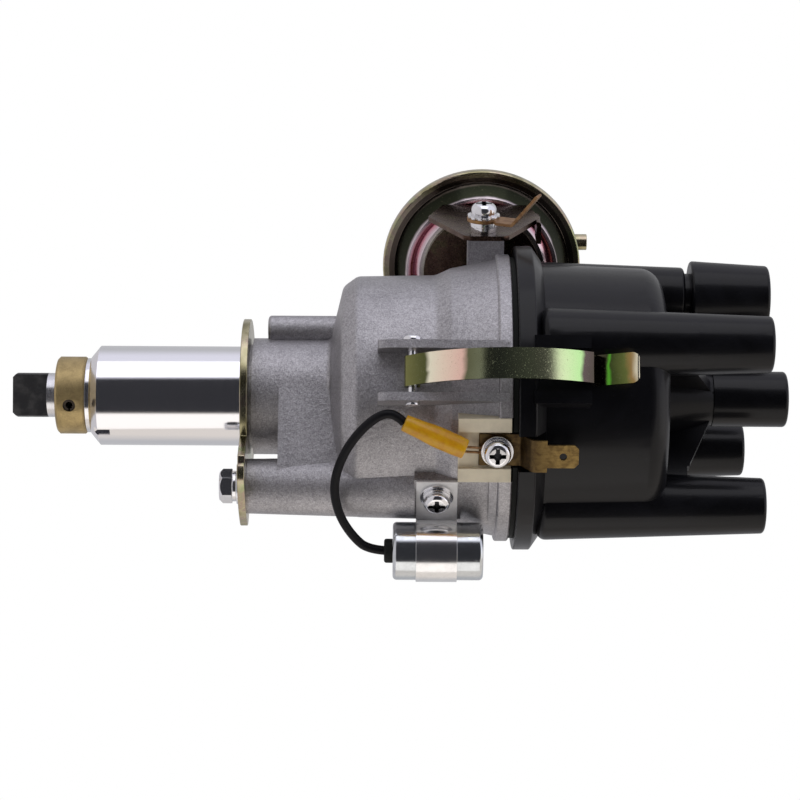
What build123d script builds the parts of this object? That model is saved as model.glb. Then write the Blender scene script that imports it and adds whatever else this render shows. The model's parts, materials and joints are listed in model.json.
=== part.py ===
from build123d import *
import os
from math import cos, radians, sin, tan

# Ignition distributor for a small four-cylinder engine, in millimetres.
# +Z runs along the shaft towards the cap. The origin is on the shaft axis, at the
# lower face of the clamp plate. Angles are in degrees about +Z, counted from +X.

# Fits
RUN = 0.05            # radial gap of a shaft running in a bush
GAP = 0.3             # gap between pieces that move past each other

# Shaft and its drive end
SHAFT_R = 6.0
SPINDLE_SEAT_R = 4.0  # upper end of the shaft, which carries the cam spindle
TONGUE_LENGTH = 9.6
TONGUE_THICK = 4.5
TONGUE_CHAMFER = 1.2
COLLAR_R = 10.5
COLLAR_LENGTH = 7.95
COLLAR_STAND_OFF = 2.7
COLLAR_PIN_R = 1.7
COLLAR_PIN_ANGLE = -74.1
THRUST_WASHER_R = 10.1
THRUST_WASHER_THICK = 1.2

# Shank that sits in the engine
SHANK_R = 13.5
SHANK_LENGTH = 41.2
SHANK_NOSE_R = 10.6
SHANK_NOSE_RISE = 2.4
DRAIN_WIDTH = 2.2
DRAIN_DEPTH = 1.2
DRAIN_LENGTH = 5.7
DRAIN_ANGLE = -42.0
BUSH_R = 8.0
BUSH_LENGTH = 16.0
OIL_BORE_R = 7.2

# Clamp plate and its bolt
PLATE_THICK = 2.0
PLATE_R = 21.0
PLATE_LOBE_R = 37.0
PLATE_LOBE_ANGLES = (-60.0, -13.0)
PLATE_EAR_ANGLE = 82.0
PLATE_EAR_RADIUS = 33.0
PLATE_EAR_R = 9.5
ENGINE_BOLT_R = 4.25
REGISTER_R = 14.0
REGISTER_HEIGHT = 2.8
CLAMP_BOLT_RADIUS = 28.3
CLAMP_BOLT_ANGLE = -32.0
CLAMP_BOLT_R = 2.5
CLAMP_BOLT_FLATS = 8.0
CLAMP_BOLT_HEAD = 3.4
CLAMP_BOLT_DEPTH = 14.0
CLAMP_SLOT_SWEEP = 12.0
PLATE_NOTCH_WIDTH = 3.7
PLATE_NOTCH_LENGTH = 14.0

# Housing casting
NECK_R = 15.8
BOSS_R = 7.3
BOSS_TOP_R = 8.4
WEB_START = 10.2
SIDE_BOSS_R = 3.9
SIDE_BOSS_RADIUS = 18.1
SIDE_BOSS_START = 6.6
BOWL_BOTTOM = 24.8
BOWL_R = 33.2
BOWL_STEP = 51.9
BOWL_RIM_OUT = 5.8    # the rim, out from the bowl's side
BOWL_RIM_HEIGHT = 3.8
BOWL_TOP = 71.8
BOWL_FLOOR = 29.5
BOWL_WALL = 4.4
LEDGE_Z = 57.6
LEDGE_WIDTH = 2.8

# Cap and its seal
SEAL_HEIGHT = 1.3
SEAL_STEP = 1.8       # the seal's inner edge, out from the bowl's side
SEAL_MARGIN = 0.8     # the seal's outer edge, in from the rim
SKIRT_OUT = 2.3       # the cap's foot, out from the rim
CAP_SKIRT_HEIGHT = 4.5
CAP_OUT = 3.2         # the cap's side, out from the bowl's side
CAP_DRAFT = 1.2
CAP_TOP = 113.0
CAP_WALL = 3.4
CAP_ROOF = 4.5
CAP_LIP_DEPTH = 2.2
CAP_LIP_THICK = 2.2
TOWER_INSET = 4.6     # the plug towers' axes, in from the cap's side
TOWER_FIRST_ANGLE = 63.45
TOWER_BASE_R = 9.5
TOWER_TIP_R = 7.4
TOWER_RISE = 26.6     # heights of the towers above the cap's crown
TALL_TOWER_R = 9.9
TALL_TOWER_TIP_R = 8.6
TALL_STEM_RISE = 8.0
TALL_TOWER_RISE = 31.4
COIL_TOWER_R = 7.55
COIL_STEP_RISE = 14.3
COIL_TOWER_RISE = 34.5
SOCKET_R = 4.4
SOCKET_DEPTH = 20.0
CONTACT_R = 4.0
CONTACT_SINK = 1.0    # thickness of the contact let into a socket's floor
MOUTH_R = 11.0        # clears the widest tower round its axis
CAP_RIB_THICK = 3.0

# Spring clips
CLIP_ANGLES = (-100.2, 79.8)
CLIP_WIDTH = 8.0
CLIP_THICK = 0.9
CLIP_PIN_OUT = 3.4    # the hinge pin, out from the bowl's side
CLIP_PIN_Z = 45.7
CLIP_PIN_R = 1.2
LUG_THICK = 2.2
LUG_GAP = 11.6
LUG_OUT = 6.4
LUG_START = 36.7
CATCH_RIB = 3.4
CATCH_HEIGHT = 14.0   # above the cap's shoulder
CATCH_FLOOR = 4.1
CATCH_RIB_OUT = 5.4

# Terminal block and blade
BLOCK_ANGLE = -69.0
BLOCK_WIDTH = 17.7
BLOCK_BOTTOM = 57.6
BLOCK_INSET = 0.5     # the block's ribs, in from the rim
BLADE_WIDTH = 6.3
BLADE_THICK = 0.8
BLADE_PLATE_WIDTH = 8.8
BLADE_TOP = 88.5
RING_THICK = 0.8
RING_R = 3.9
STRAND_R = 0.35
STRAND_GAP = 1.3
TERMINAL_Z = 67.7

# Condenser
CAN_R = 7.65
CAN_BOTTOM = 40.8
CAN_LENGTH = 23.8
STRAP_WIDTH = 10.8
STRAP_THICK = 0.5
STRAP_Z = 52.3
TAB_ANGLE = -44.0
TAB_OUT = 2.3         # the condenser's pad, out from the bowl's side
GROMMET_R = 3.2
LEAD_R = 1.2

# Small fasteners
SCREW_R = 2.0
SCREW_HEAD_R = 3.5
SCREW_HEAD_HEIGHT = 2.4
WASHER_R = 4.4
WASHER_THICK = 0.8

# Vacuum advance unit
UNIT_ANGLE = 200.0
UNIT_OFFSET = 22.6    # from the shaft axis to the pull rod's line
UNIT_Z = 65.65
UNIT_OUT = 15.8       # the unit's rim, out from the bowl's side
UNIT_R = 28.3
UNIT_DISH = 5.6
UNIT_ROLL = 1.1       # width of the rolled edge
UNIT_DEPTH = 14.0
UNIT_SHEET = 1.0
PORT_R = 2.35
PORT_BORE_R = 1.4
PORT_TOP = 97.2
PORT_OFFSET = 24.2
PORT_ELBOW = 4.2
BRACKET_OUT = 7.8     # the bracket's pad, out from the bowl's side
BRACKET_THICK = 1.3

# Governor, cam and breaker set
GOVERNOR_Z = 38.0
GOVERNOR_R = 24.0
GOVERNOR_THICK = 2.0
WEIGHT_PIVOT_RADIUS = 18.0
WEIGHT_PIN_RADIUS = 10.0
WEIGHT_PIN_R = 1.5
WEIGHT_THICK = 7.0
WEIGHT_ANGLES = (20.0, 200.0)
FOOT_Z = 48.0
FOOT_THICK = 1.6
SPINDLE_R = 6.5
CAM_BASE_R = 8.4
CAM_LIFT = 0.6
CAM_BOTTOM = 63.0
CAM_TOP = 73.5
ARM_ANGLE = 10.0      # direction from the cam to the rubbing block
HUB_R = 12.0
HUB_BORE_R = 10.2
BREAKER_Z = 60.0
BREAKER_THICK = 1.6
BREAKER_R = 27.5
ARM_X = 17.0          # breaker arm's line, out from the shaft axis
ARM_PIVOT_Y = 16.0
CONTACT_Y = -10.0
CONTACT_Z = 67.0
ROTOR_Z = 80.0
ROTOR_TIP_R = 26.7
ELECTRODE_Z = 93.0
ELECTRODE_GAP = 0.8

# Seats, slots and small places
CLIP_LEAN = 36.0      # where the clip leaves its curl, below the pin's outer side
CLIP_CURL = 215.0
CLIP_BOW_OUT = 16.4
CLIP_BOW_Z = 71.0
CLIP_HOOK_STEPS = [(10.6, 0.0), (6.1, 1.1), (7.2, 3.2), (11.4, 11.6)]  # out from the bowl, up from the catch
CLIP_CORNER_R = 2.2
BLOCK_RIB_DEPTH = 1.5
RELIEF_RISE = 3.0
RELIEF_DEPTH = 8.0
RELIEF_SIDE = 0.5
PAD_NEAR, PAD_FAR = 11.8, 22.4
BRACKET_NOSE = 5.6
BRACKET_HALF = 15.7
BRACKET_TIP = 31.0
BRACKET_CURL = 5.0
BRACKET_DISC_R = 16.6
SCREW_DEPTH = 5.0
STACK_TAB = 3.0       # the earth tag's height over the bracket
STACK_HEAD = 3.2
SCREW_HOLD = 2.4      # a screw's length in its hole
ROD_SLOT = 4.0
ROD_PIN_R = 1.5
DIAPHRAGM_THICK = 0.8
EARTH_TAB_THICK = 0.8
RUBBING_GAP = 0.25
BRUSH_HOLE_R = 2.4
ELECTRODE_R = 2.2
CATCH_GAP = 11.0
TAB_LOW = -5.3
TAB_HIGH = 13.8

# Places that follow from the sizes above
NOSE_Z = -SHANK_LENGTH
WASHER_Z = NOSE_Z - THRUST_WASHER_THICK
COLLAR_TOP = WASHER_Z - RUN
COLLAR_BOTTOM = COLLAR_TOP - COLLAR_LENGTH
TONGUE_TOP = COLLAR_BOTTOM - COLLAR_STAND_OFF
SHAFT_TIP = TONGUE_TOP - TONGUE_LENGTH
SEAL_TOP = BOWL_TOP + SEAL_HEIGHT
CAP_SHOULDER = SEAL_TOP + CAP_SKIRT_HEIGHT
BOWL_RIM_R = BOWL_R + BOWL_RIM_OUT
SEAL_IN_R = BOWL_R + SEAL_STEP
SEAL_OUT_R = BOWL_RIM_R - SEAL_MARGIN
CAP_SKIRT_R = BOWL_RIM_R + SKIRT_OUT
CAP_R = BOWL_R + CAP_OUT
CAP_TOP_R = CAP_R - CAP_DRAFT
TOWER_RADIUS = CAP_R - TOWER_INSET
TOWER_TOP = CAP_TOP + TOWER_RISE
TALL_TOWER_STEM = CAP_TOP + TALL_STEM_RISE
TALL_TOWER_TOP = CAP_TOP + TALL_TOWER_RISE
COIL_TOWER_STEP = CAP_TOP + COIL_STEP_RISE
COIL_TOWER_TOP = CAP_TOP + COIL_TOWER_RISE
CATCH_TOP = CAP_SHOULDER + CATCH_HEIGHT
CLIP_PIN_RADIUS = BOWL_R + CLIP_PIN_OUT
CLIP_HOOK = [(BOWL_R + out, CATCH_TOP + up) for out, up in CLIP_HOOK_STEPS]
LUG_REACH = BOWL_R + LUG_OUT
BLOCK_FACE = BOWL_RIM_R - BLOCK_INSET
BLADE_SEAT = BLOCK_FACE - BLOCK_RIB_DEPTH
TAB_FACE = BOWL_R + TAB_OUT
CAN_RADIUS = TAB_FACE + CAN_R + 0.1
CAN_X = CAN_RADIUS * cos(radians(TAB_ANGLE)) - TAB_HIGH * sin(radians(TAB_ANGLE))
CAN_Y = CAN_RADIUS * sin(radians(TAB_ANGLE)) + TAB_HIGH * cos(radians(TAB_ANGLE))
UNIT_RIM_DISTANCE = BOWL_R + UNIT_OUT
UNIT_FLOOR = UNIT_RIM_DISTANCE - UNIT_DISH
UNIT_FLANGE_R = UNIT_R - UNIT_ROLL
DIAPHRAGM_FACE = UNIT_RIM_DISTANCE + UNIT_SHEET - 0.6
REAR_RIM = DIAPHRAGM_FACE + DIAPHRAGM_THICK
BRACKET_FACE = BOWL_R + BRACKET_OUT
BOWL_IN_R = BOWL_R - BOWL_WALL
LEDGE_R = BOWL_IN_R + LEDGE_WIDTH
LIP_OUT_R = SEAL_IN_R - 0.5
RIM_RECESS_R = LIP_OUT_R + 0.2
CLIP_HOLD_R = CLIP_PIN_R + RUN
LOWER_BUSH_Z = NOSE_Z + 1.0
UPPER_BUSH_Z = BOWL_FLOOR - BUSH_LENGTH - 3.0
SPINDLE_TOP = ELECTRODE_Z - 6.0
SPINDLE_SHELF = ROTOR_Z - 2.0
SPRING_Z = FOOT_Z + FOOT_THICK + 1.7
PAD_TOP = STRAP_Z + STRAP_WIDTH / 2 + 1.0
PAD_BOTTOM = STRAP_Z - STRAP_WIDTH / 2 - 0.4
UNIT_SCREW_Z = UNIT_Z - 0.6
BRUSH_MOUTH = ELECTRODE_Z + 5.0
FOOT_LOW = ELECTRODE_Z - 3.0
FOOT_TOP = ELECTRODE_Z + 4.2


def beside_bowl(out, angle, z):
    """A point outside the bowl: out from its side, round it and along it."""
    radius = BOWL_R + out
    return (radius * cos(radians(angle)), radius * sin(radians(angle)), z)


# The lead's route, from the condenser's grommet to the terminal's sleeve
SLEEVE_START = beside_bowl(6.16, -80.35, 43.6)
SLEEVE_END = beside_bowl(6.9, -70.5, 59.4)
LEAD_ROUTE = [
    (CAN_X, CAN_Y, CAN_BOTTOM + 0.5), (CAN_X, CAN_Y, CAN_BOTTOM - 6.2),
    beside_bowl(9.7, -31.5, 30.0), beside_bowl(6.9, -40.4, 26.4), beside_bowl(4.6, -52.5, 25.2),
    beside_bowl(4.1, -65.7, 27.6), beside_bowl(5.3, -76.5, 32.0), beside_bowl(6.5, -83.3, 37.2),
    beside_bowl(6.4, -83.9, 41.2), SLEEVE_START,
]


def polar(radius, angle, z=0.0):
    return Vector(radius * cos(radians(angle)), radius * sin(radians(angle)), z)


def facing(radius, angle, z=0.0):
    """A plane that faces outwards: its x runs round the axis and its y along +Z."""
    out = polar(1, angle)
    return Plane(origin=polar(radius, angle, z), x_dir=(-out.Y, out.X, 0), z_dir=out)


def rod(radius, z0, z1, x=0.0, y=0.0):
    return Pos(x, y, (z0 + z1) / 2) * Cylinder(radius, z1 - z0)


def ring(outer, inner, z0, z1):
    return rod(outer, z0, z1) - rod(inner, z0 - 1, z1 + 1)


def cone(r0, r1, z0, z1, x=0.0, y=0.0):
    return Pos(x, y, (z0 + z1) / 2) * Cone(r0, r1, z1 - z0)


def block(x0, x1, y0, y1, z0, z1):
    return Pos((x0 + x1) / 2, (y0 + y1) / 2, (z0 + z1) / 2) * Box(x1 - x0, y1 - y0, z1 - z0)


def outline(points, rounds=()):
    """A closed face with straight sides. Each round is a corner and its radius."""
    face = make_face(Polyline(*points, close=True))
    for corner, radius in rounds:
        face = fillet(face.vertices().sort_by_distance(corner)[0], radius)
    return face


def turned(points, rounds=()):
    """A solid of revolution about the shaft axis, from (radius, z) corners."""
    return revolve(Plane.XZ * outline(points, rounds), Axis.Z)


def sheet_strip(centre_line, thick):
    """A constant-thickness section that follows an open line in its own plane."""
    return make_face(
        offset(centre_line, amount=thick / 2, side=Side.BOTH, kind=Kind.ARC).wires()[0]
    )


def pan_screw(length, head_r=SCREW_HEAD_R, head=SCREW_HEAD_HEIGHT, shank_r=SCREW_R):
    """A pan-head cross screw, head upwards from local z 0, shank below."""
    dome = rod(head_r, 0, head)
    dome = fillet(dome.edges().group_by(Axis.Z)[-1], head * 0.6)
    long, wide = head_r * 0.62, head_r * 0.16
    slot = block(-long, long, -wide, wide, head * 0.4, head + 1)
    cross = slot + Rot(0, 0, 90) * slot + rod(2 * wide, head * 0.4, head + 1)
    return dome + rod(shank_r, -length, 0) - cross


def spring_washer(radius, hole_r, z0, thick):
    split = block(0, radius + 1, -0.4, 0.4, z0 - 1, z0 + thick + 1)
    return ring(radius, hole_r, z0, z0 + thick) - split


# Shaft group

def drive_shaft():
    body = rod(SHAFT_R, SHAFT_TIP, GOVERNOR_Z + GOVERNOR_THICK)
    body += rod(SPINDLE_SEAT_R, GOVERNOR_Z, SPINDLE_SHELF - GAP)
    shoulder = SHAFT_R - TONGUE_CHAMFER
    blade = outline([
        (-SHAFT_R, TONGUE_TOP + 1), (-SHAFT_R, SHAFT_TIP + TONGUE_CHAMFER), (-shoulder, SHAFT_TIP),
        (shoulder, SHAFT_TIP), (SHAFT_R, SHAFT_TIP + TONGUE_CHAMFER), (SHAFT_R, TONGUE_TOP + 1),
    ])
    tongue = extrude(Plane.XZ * blade, TONGUE_THICK / 2, both=True)
    body -= rod(SHAFT_R + 1, SHAFT_TIP - 1, TONGUE_TOP)
    body += tongue & rod(SHAFT_R, SHAFT_TIP, TONGUE_TOP + 1)
    body -= rod(SCREW_R, SPINDLE_SHELF - 12, SPINDLE_SHELF + 1)
    return body - collar_pin_hole()


def collar_pin_hole():
    middle = (COLLAR_TOP + COLLAR_BOTTOM) / 2
    return facing(0, COLLAR_PIN_ANGLE, middle) * Cylinder(COLLAR_PIN_R, 4 * COLLAR_R)


def drive_collar():
    body = ring(COLLAR_R, SHAFT_R, COLLAR_BOTTOM, COLLAR_TOP)
    rims = body.edges().filter_by(GeomType.CIRCLE).filter_by(lambda e: e.radius > SHAFT_R + 1)
    return chamfer(rims, 0.6) - collar_pin_hole()


def collar_pin():
    """A rolled spring pin, flush with the collar."""
    middle = (COLLAR_TOP + COLLAR_BOTTOM) / 2
    length = 2 * COLLAR_R - 0.8
    pin = Cylinder(COLLAR_PIN_R, length) - Cylinder(COLLAR_PIN_R * 0.55, length + 1)
    pin -= Pos(COLLAR_PIN_R, 0, 0) * Box(COLLAR_PIN_R * 1.4, 0.5, length + 1)
    return facing(0, COLLAR_PIN_ANGLE, middle) * pin


def governor_plate():
    body = ring(GOVERNOR_R, SHAFT_R, GOVERNOR_Z, GOVERNOR_Z + GOVERNOR_THICK)
    body -= ring(SHAFT_R + 0.01, SPINDLE_SEAT_R, GOVERNOR_Z, GOVERNOR_Z + GOVERNOR_THICK)
    top = GOVERNOR_Z + GOVERNOR_THICK
    for angle in WEIGHT_ANGLES:
        post = polar(WEIGHT_PIVOT_RADIUS, angle)
        body += rod(2.0, top - 1, top + WEIGHT_THICK + 0.8, post.X, post.Y)
        hook = polar(GOVERNOR_R - 2.5, angle - 40)
        body += rod(1.2, top - 1, SPRING_Z + 1.2, hook.X, hook.Y)
        gap = polar(GOVERNOR_R, angle + 62)
        body -= rod(6, GOVERNOR_Z - 1, top + 1, gap.X, gap.Y)
    return body


def governor_weight(angle):
    """A crescent weight, cut by its pivot hole, with the pin that turns the cam foot."""
    low = GOVERNOR_Z + GOVERNOR_THICK + 0.2
    high = low + WEIGHT_THICK
    far = 3 * GOVERNOR_R
    body = rod(21.8, low, high) - rod(12.2, low - 1, high + 1)
    keep = Plane.XY.offset(low) * make_face(
        Polyline((0, 0), polar_xy(far, -11.3), polar_xy(far, 45), polar_xy(far, 96), (0, 0))
    )
    body = body & extrude(keep, WEIGHT_THICK)
    pivot = (WEIGHT_PIVOT_RADIUS, 0)
    body += rod(3.8, low, high, *pivot)
    ear = block(WEIGHT_PIN_RADIUS, WEIGHT_PIVOT_RADIUS, -2.2, 2.2, low, high)
    ear += rod(2.2, low, high, WEIGHT_PIN_RADIUS, 0)
    body += ear
    body += rod(WEIGHT_PIN_R, high, FOOT_Z + FOOT_THICK + 0.4, WEIGHT_PIN_RADIUS, 0)
    body -= rod(2.0 + RUN, low - 1, high + 1, *pivot)
    return Rot(0, 0, angle) * body


def polar_xy(radius, angle):
    point = polar(radius, angle)
    return (point.X, point.Y)


def governor_springs():
    """Two coil springs, from the plate's posts to the cam foot's posts."""
    springs = []
    level = SPRING_Z
    for angle in WEIGHT_ANGLES:
        start = polar(GOVERNOR_R - 2.5, angle - 40, level)
        end = foot_post(angle, level)
        along = (end - start).normalized()
        axis = Plane(origin=(start + end) / 2, z_dir=along)
        length = (end - start).length - 2 * (1.2 + GAP)
        springs.append(axis * (Cylinder(1.4, length) - Cylinder(0.8, length + 1)))
    return Compound(children=springs)


def foot_post(angle, z):
    return polar(11.5, angle - 75, z)


def cam_spindle():
    """The sleeve that carries the four-lobed cam and, above it, the rotor arm."""
    body = rod(SPINDLE_R, FOOT_Z, ROTOR_Z)
    body += rod(SPINDLE_R - 0.8, ROTOR_Z, SPINDLE_TOP)
    foot = rod(9.0, FOOT_Z, FOOT_Z + FOOT_THICK)
    for angle in WEIGHT_ANGLES:
        turn = Rot(0, 0, angle)
        foot += turn * block(0, 13.2, -4.0, 4.0, FOOT_Z, FOOT_Z + FOOT_THICK)
        post = foot_post(angle, 0)
        foot += rod(3.0, FOOT_Z, FOOT_Z + FOOT_THICK, post.X, post.Y)
        foot += rod(1.2, FOOT_Z, SPRING_Z + 1.2, post.X, post.Y)
        slot = block(WEIGHT_PIN_RADIUS - 2.2, WEIGHT_PIN_RADIUS + 2.2, -WEIGHT_PIN_R - 0.25,
                     WEIGHT_PIN_R + 0.25, FOOT_Z - 1, FOOT_Z + FOOT_THICK + 1)
        foot -= turn * slot
    body += foot + cam_lobes()
    body -= rod(SPINDLE_SEAT_R + RUN, FOOT_Z - 2, SPINDLE_SHELF)
    body -= rod(SCREW_R + GAP, SPINDLE_SHELF - 1, SPINDLE_TOP + 1)
    body -= rod(SPINDLE_SEAT_R + RUN, SPINDLE_SHELF + 1.5, SPINDLE_TOP + 1)
    key = block(SPINDLE_R - 1.8, SPINDLE_R + 1, -SPINDLE_R, SPINDLE_R, ROTOR_Z, SPINDLE_TOP + 1)
    return body - Rot(0, 0, TOWER_FIRST_ANGLE) * key


def cam_lobes():
    """Base circle with four tip arcs, joined by straight flanks that meet both."""
    tip_r = 1.2
    tip_at = CAM_BASE_R + CAM_LIFT - tip_r
    section = Circle(CAM_BASE_R)
    for quarter in range(4):
        centre = polar(tip_at, ARM_ANGLE + 45 + 90 * quarter)
        tip = Pos(centre.X, centre.Y) * Circle(tip_r)
        section += make_hull(Circle(CAM_BASE_R).edges() + tip.edges())
    return extrude(Plane.XY.offset(CAM_BOTTOM) * section, CAM_TOP - CAM_BOTTOM)


def rotor_arm():
    """Moulded rotor: a socket over the spindle, an arm and a balancing heel."""
    turn = Rot(0, 0, TOWER_FIRST_ANGLE)
    body = rod(9.6, ROTOR_Z, ELECTRODE_Z - 5)
    blade = make_hull(Circle(9.6).edges() + (Pos(19.5, 0) * Circle(4.2)).edges())
    heel = make_hull(Circle(9.6).edges() + (Pos(-9.5, 0) * Circle(5.0)).edges())
    body += turn * extrude(Plane.XY.offset(ELECTRODE_Z - 6) * (blade + heel), 6)
    body -= rod(SPINDLE_R - 0.8, ROTOR_Z - 1, SPINDLE_TOP)
    key = block(SPINDLE_R - 1.8, SPINDLE_R, -SPINDLE_R, SPINDLE_R, ROTOR_Z, SPINDLE_TOP)
    return body + turn * (key & rod(SPINDLE_R, ROTOR_Z, SPINDLE_TOP))


def rotor_electrode():
    """Brass strip that carries the spark from the brush to the side contacts."""
    shape = outline([(-4, -3), (18, -3), (ROTOR_TIP_R, -5), (ROTOR_TIP_R, 5), (18, 3), (-4, 3)])
    strip = extrude(Plane.XY.offset(ELECTRODE_Z) * shape, 1.2)
    strip = strip & rod(ROTOR_TIP_R, ELECTRODE_Z - 1, ELECTRODE_Z + 2)
    return Rot(0, 0, TOWER_FIRST_ANGLE) * strip


def cam_screw():
    return Pos(0, 0, SPINDLE_SHELF + 1.5) * pan_screw(11.0, SPINDLE_SEAT_R - 0.5)


# Housing group

def bowl_profile():
    corners = [
        (0, NOSE_Z), (SHANK_NOSE_R, NOSE_Z), (SHANK_R, NOSE_Z + SHANK_NOSE_RISE), (SHANK_R, 0),
        (REGISTER_R, 0), (REGISTER_R, REGISTER_HEIGHT), (NECK_R, REGISTER_HEIGHT),
        (NECK_R, BOWL_BOTTOM - 1), (NECK_R + 5, BOWL_BOTTOM), (BOWL_R - 3.2, BOWL_BOTTOM + 2.2),
        (BOWL_R - 0.4, BOWL_BOTTOM + 6), (BOWL_R, BOWL_STEP), (BOWL_R + 1.9, BOWL_STEP + 4),
        (BOWL_RIM_R - 1.4, BOWL_TOP - BOWL_RIM_HEIGHT), (BOWL_RIM_R, BOWL_TOP - BOWL_RIM_HEIGHT),
        (BOWL_RIM_R, BOWL_TOP), (0, BOWL_TOP),
    ]
    rounds = [
        ((NECK_R, BOWL_BOTTOM - 1), 1.5), ((NECK_R + 5, BOWL_BOTTOM), 2.0),
        ((BOWL_R - 3.2, BOWL_BOTTOM + 2.2), 3.0), ((BOWL_R - 0.4, BOWL_BOTTOM + 6), 3.0),
        ((BOWL_R, BOWL_STEP), 4.0), ((BOWL_R + 1.9, BOWL_STEP + 4), 3.0),
        ((BOWL_RIM_R, BOWL_TOP - BOWL_RIM_HEIGHT), 0.6), ((BOWL_RIM_R, BOWL_TOP), 0.5),
    ]
    return turned(corners, rounds)


def bowl_cavity():
    corners = [
        (0, BOWL_FLOOR), (BOWL_IN_R - 3.5, BOWL_FLOOR), (BOWL_IN_R, BOWL_FLOOR + 3.5),
        (BOWL_IN_R, LEDGE_Z), (LEDGE_R, LEDGE_Z), (LEDGE_R, BOWL_TOP - CAP_LIP_DEPTH - 0.3),
        (RIM_RECESS_R, BOWL_TOP - CAP_LIP_DEPTH - 0.3), (RIM_RECESS_R, BOWL_TOP + 1),
        (0, BOWL_TOP + 1),
    ]
    return turned(corners)


def shaft_bore():
    top = UPPER_BUSH_Z + BUSH_LENGTH
    bore = rod(BUSH_R, NOSE_Z - 1, LOWER_BUSH_Z + BUSH_LENGTH)
    bore += rod(OIL_BORE_R, NOSE_Z, BOWL_FLOOR + 1) + rod(BUSH_R, UPPER_BUSH_Z, top)
    return bore + rod(BUSH_R, UPPER_BUSH_Z, BOWL_FLOOR + 1)


def clamp_boss():
    """The bolt boss that grows along the bowl and ends in the condenser's pad."""
    foot = polar(CLAMP_BOLT_RADIUS, CLAMP_BOLT_ANGLE)
    head = polar(CLAMP_BOLT_RADIUS + 2.7, CLAMP_BOLT_ANGLE - 7)
    boss = loft([
        Pos(foot.X, foot.Y, PLATE_THICK) * Circle(BOSS_R),
        Pos(head.X, head.Y, PAD_TOP) * Circle(BOSS_TOP_R),
    ])
    plan = make_hull(Circle(NECK_R).edges() + (Pos(foot.X, foot.Y) * Circle(BOSS_R)).edges())
    return boss + extrude(Plane.XY.offset(WEB_START) * plan, BOWL_FLOOR - WEB_START - 1)


def side_boss():
    boss = rod(SIDE_BOSS_R, SIDE_BOSS_START, BOWL_BOTTOM + 4, -SIDE_BOSS_RADIUS, 0)
    return fillet(boss.edges().group_by(Axis.Z)[0], 1.0)


def clip_lugs(angle):
    """Two ribs that hold a clip's pin, run out into the rim."""
    rib = outline(
        [(BOWL_R - 3, LUG_START), (LUG_REACH - 1.2, LUG_START), (LUG_REACH, LUG_START + 3),
         (LUG_REACH, BOWL_STEP - 1), (BOWL_RIM_R - 0.2, BOWL_TOP - 1), (BOWL_R - 1.5, BOWL_TOP - 1)],
        [((LUG_REACH - 1.2, LUG_START), 1.0)],
    )
    ribs = extrude(Plane.XZ * rib, LUG_THICK)
    lugs = Pos(0, -LUG_GAP / 2, 0) * ribs + Pos(0, LUG_GAP / 2 + LUG_THICK, 0) * ribs
    pin = facing_pin(0, LUG_GAP + 3 * LUG_THICK)
    return Rot(0, 0, angle) * (lugs - pin)


def facing_pin(angle, length, radius=CLIP_PIN_R):
    """A pin across a clip's plane, at its hinge."""
    place = Pos(CLIP_PIN_RADIUS, 0, CLIP_PIN_Z) * Rot(90, 0, 0)
    return Rot(0, 0, angle) * place * Cylinder(radius, length)


def unit_place(height, distance, z=UNIT_Z):
    """A point near the vacuum unit: height from the shaft, distance from its middle line."""
    up = polar(1, UNIT_ANGLE)
    side = polar(1, UNIT_ANGLE - 90)
    return up * height + side * distance + Vector(0, 0, z)


def unit_plane(distance=0.0, height=UNIT_OFFSET, z=UNIT_Z):
    """Across the pull rod: local x points away from the shaft, local z along the pull."""
    side = polar(1, UNIT_ANGLE - 90)
    return Plane(origin=unit_place(height, distance, z), x_dir=polar(1, UNIT_ANGLE), z_dir=side)


def unit_box(h0, h1, d0, d1, z0, z1):
    middle = unit_plane((d0 + d1) / 2, (h0 + h1) / 2, (z0 + z1) / 2)
    return middle * Box(h1 - h0, z1 - z0, d1 - d0)


def block_seat(grow=0.0):
    """The space in the bowl's wall that the terminal block fills."""
    width = BLOCK_WIDTH + 2 * grow
    deep = BLOCK_FACE + 6 - LEDGE_R + 1.2
    plane = facing(LEDGE_R - 1.2 + deep / 2, BLOCK_ANGLE, (BLOCK_BOTTOM + BOWL_TOP + 1) / 2)
    return plane * Box(width, BOWL_TOP + 1 - BLOCK_BOTTOM, deep)


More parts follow.
